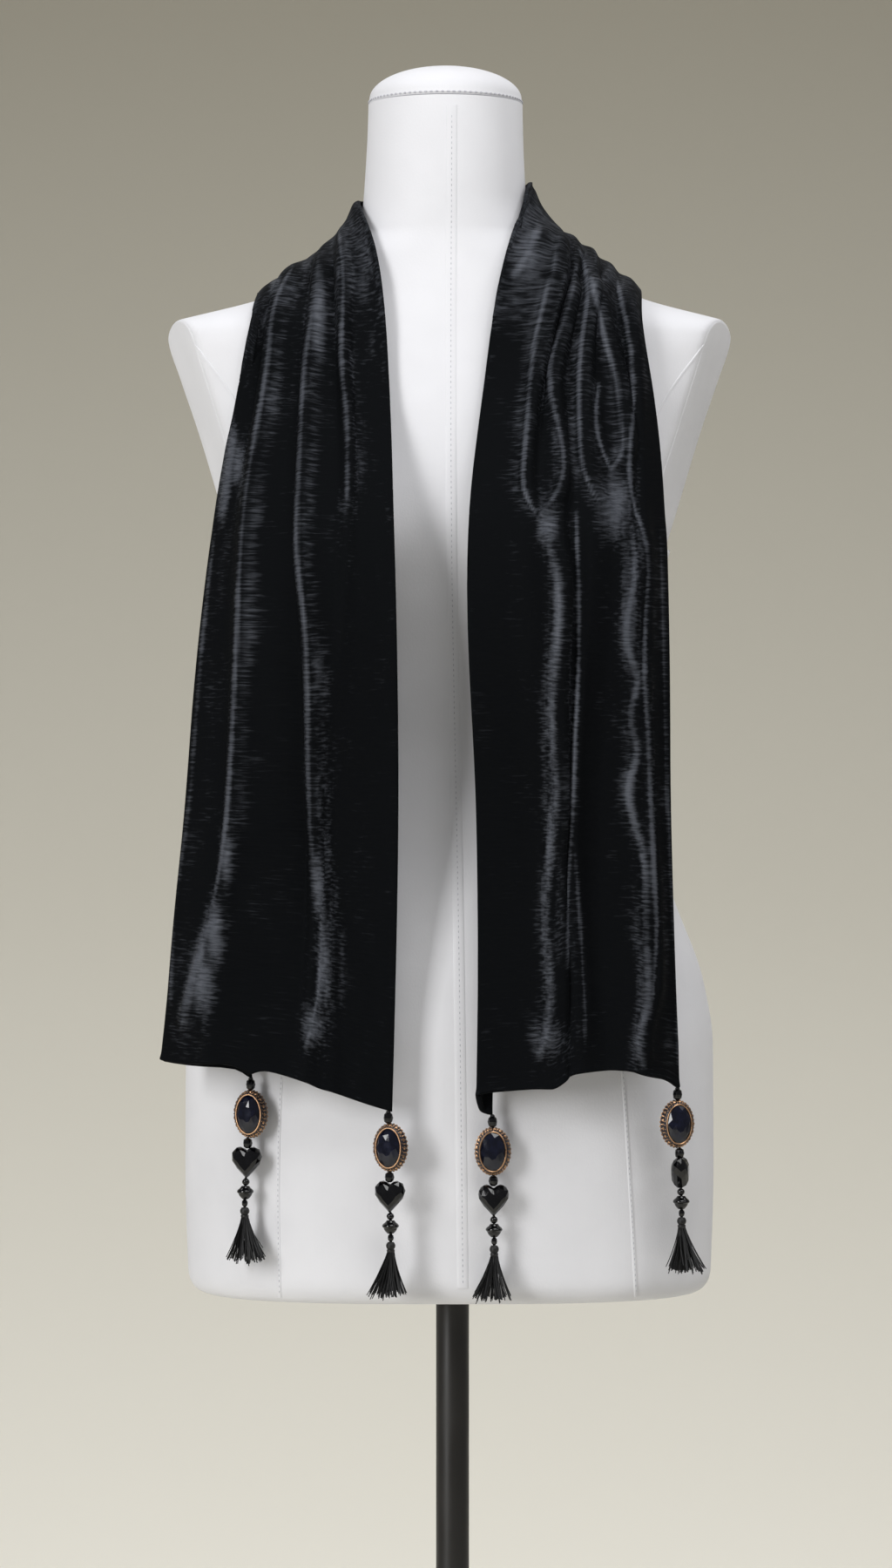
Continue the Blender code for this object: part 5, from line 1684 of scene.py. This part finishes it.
def backdrop_sheet():
    """One sheet of paper: flat on the floor, up through a quarter circle, and straight up behind."""
    turn = np.linspace(0, np.pi / 2, 24)
    bend_y = BACKDROP_BACK - BACKDROP_BEND + BACKDROP_BEND * np.sin(turn)
    bend_z = BACKDROP_BEND * (1 - np.cos(turn))
    y = np.concatenate([[-BACKDROP_REACH], bend_y, [BACKDROP_BACK]])
    z = np.concatenate([[0.0], bend_z, [BACKDROP_REACH]])
    x = np.linspace(-BACKDROP_HALF_WIDTH, BACKDROP_HALF_WIDTH, 9)
    grid = np.stack(np.broadcast_arrays(x[None, :], y[:, None], z[:, None]), axis=-1)
    return grid.reshape(-1, 3), grid_quads(numbered(grid))


def add_light(name, power, place, aim, width, height):
    """A soft rectangular light at a place, aimed at a point."""
    data = bpy.data.lights.new(name, "AREA")
    data.shape = "RECTANGLE"
    data.size = width
    data.size_y = height
    data.energy = power
    light = bpy.data.objects.new(name, data)
    light.location = place
    light.rotation_euler = (Vector(aim) - Vector(place)).to_track_quat("-Z", "Y").to_euler()
    bpy.context.scene.collection.objects.link(light)


class OBJECT_OT_make_stage(Operator):
    """Set up the paper backdrop, its light, three soft lights on the form, the dim room and the camera"""

    bl_idname = "object.make_stage"
    bl_label = "Make stage"

    def execute(self, context):
        settings = context.scene.stage_looks
        scene = context.scene
        points, quads = backdrop_sheet()
        mesh = bpy.data.meshes.new("backdrop")
        mesh.from_pydata((points * MM).tolist(), [], quads.tolist())
        mesh.shade_smooth()
        mesh.materials.append(backdrop_paper(settings.low, settings.high))
        backdrop = bpy.data.objects.new("backdrop", mesh)
        scene.collection.objects.link(backdrop)
        for name, field, *aim in LIGHTS:
            add_light(name, getattr(settings, field), *aim)
        room = bpy.data.worlds.new("dim_room")
        scene.world = room
        room.use_nodes = True
        air = room.node_tree.nodes["Background"]
        air.inputs["Color"].default_value = ROOM_COLOUR
        air.inputs["Strength"].default_value = settings.room
        lens = bpy.data.cameras.new("camera")
        lens.sensor_fit = "VERTICAL"
        lens.sensor_height = CAMERA_SENSOR
        lens.lens = CAMERA_LENS
        lens.shift_x = CAMERA_SHIFT
        camera = bpy.data.objects.new("camera", lens)
        camera.location = CAMERA_PLACE
        camera.rotation_euler = (math.pi / 2, 0.0, 0.0)
        scene.collection.objects.link(camera)
        scene.camera = camera
        scene.view_settings.view_transform = "Standard"
        return {"FINISHED"}


MAKERS = (
    OBJECT_OT_make_dress_form,
    OBJECT_OT_make_stand,
    OBJECT_OT_make_velvet_scarf,
    OBJECT_OT_make_beads,
    OBJECT_OT_make_cameos,
    OBJECT_OT_make_tassels,
    OBJECT_OT_make_stage,
)


class VIEW3D_PT_velvet_scarf(Panel):
    """Lists the sizes, colours and steps of the velvet scarf"""

    bl_label = "Velvet Scarf"
    bl_idname = "VIEW3D_PT_velvet_scarf"
    bl_space_type = "VIEW_3D"
    bl_region_type = "UI"
    bl_category = "Velvet Scarf"

    def draw(self, context):
        for name, group in SETTINGS.items():
            box = self.layout.box()
            for field in group.__annotations__:
                box.prop(getattr(context.scene, name), field)
        for maker in MAKERS:
            self.layout.operator(maker.bl_idname)


CLASSES = (*SETTINGS.values(), *MAKERS, VIEW3D_PT_velvet_scarf)


def register():
    for item in CLASSES:
        bpy.utils.register_class(item)
    for name, group in SETTINGS.items():
        setattr(bpy.types.Scene, name, PointerProperty(type=group))


def unregister():
    for name in SETTINGS:
        delattr(bpy.types.Scene, name)
    for item in reversed(CLASSES):
        bpy.utils.unregister_class(item)


def main():
    register()
    bpy.ops.object.make_dress_form()
    bpy.ops.object.make_form_stand()
    bpy.ops.object.make_velvet_scarf()
    bpy.ops.object.make_pendant_beads()
    bpy.ops.object.make_cameos()
    bpy.ops.object.make_tassels()
    bpy.ops.object.make_stage()


if __name__ == "__main__":
    main()
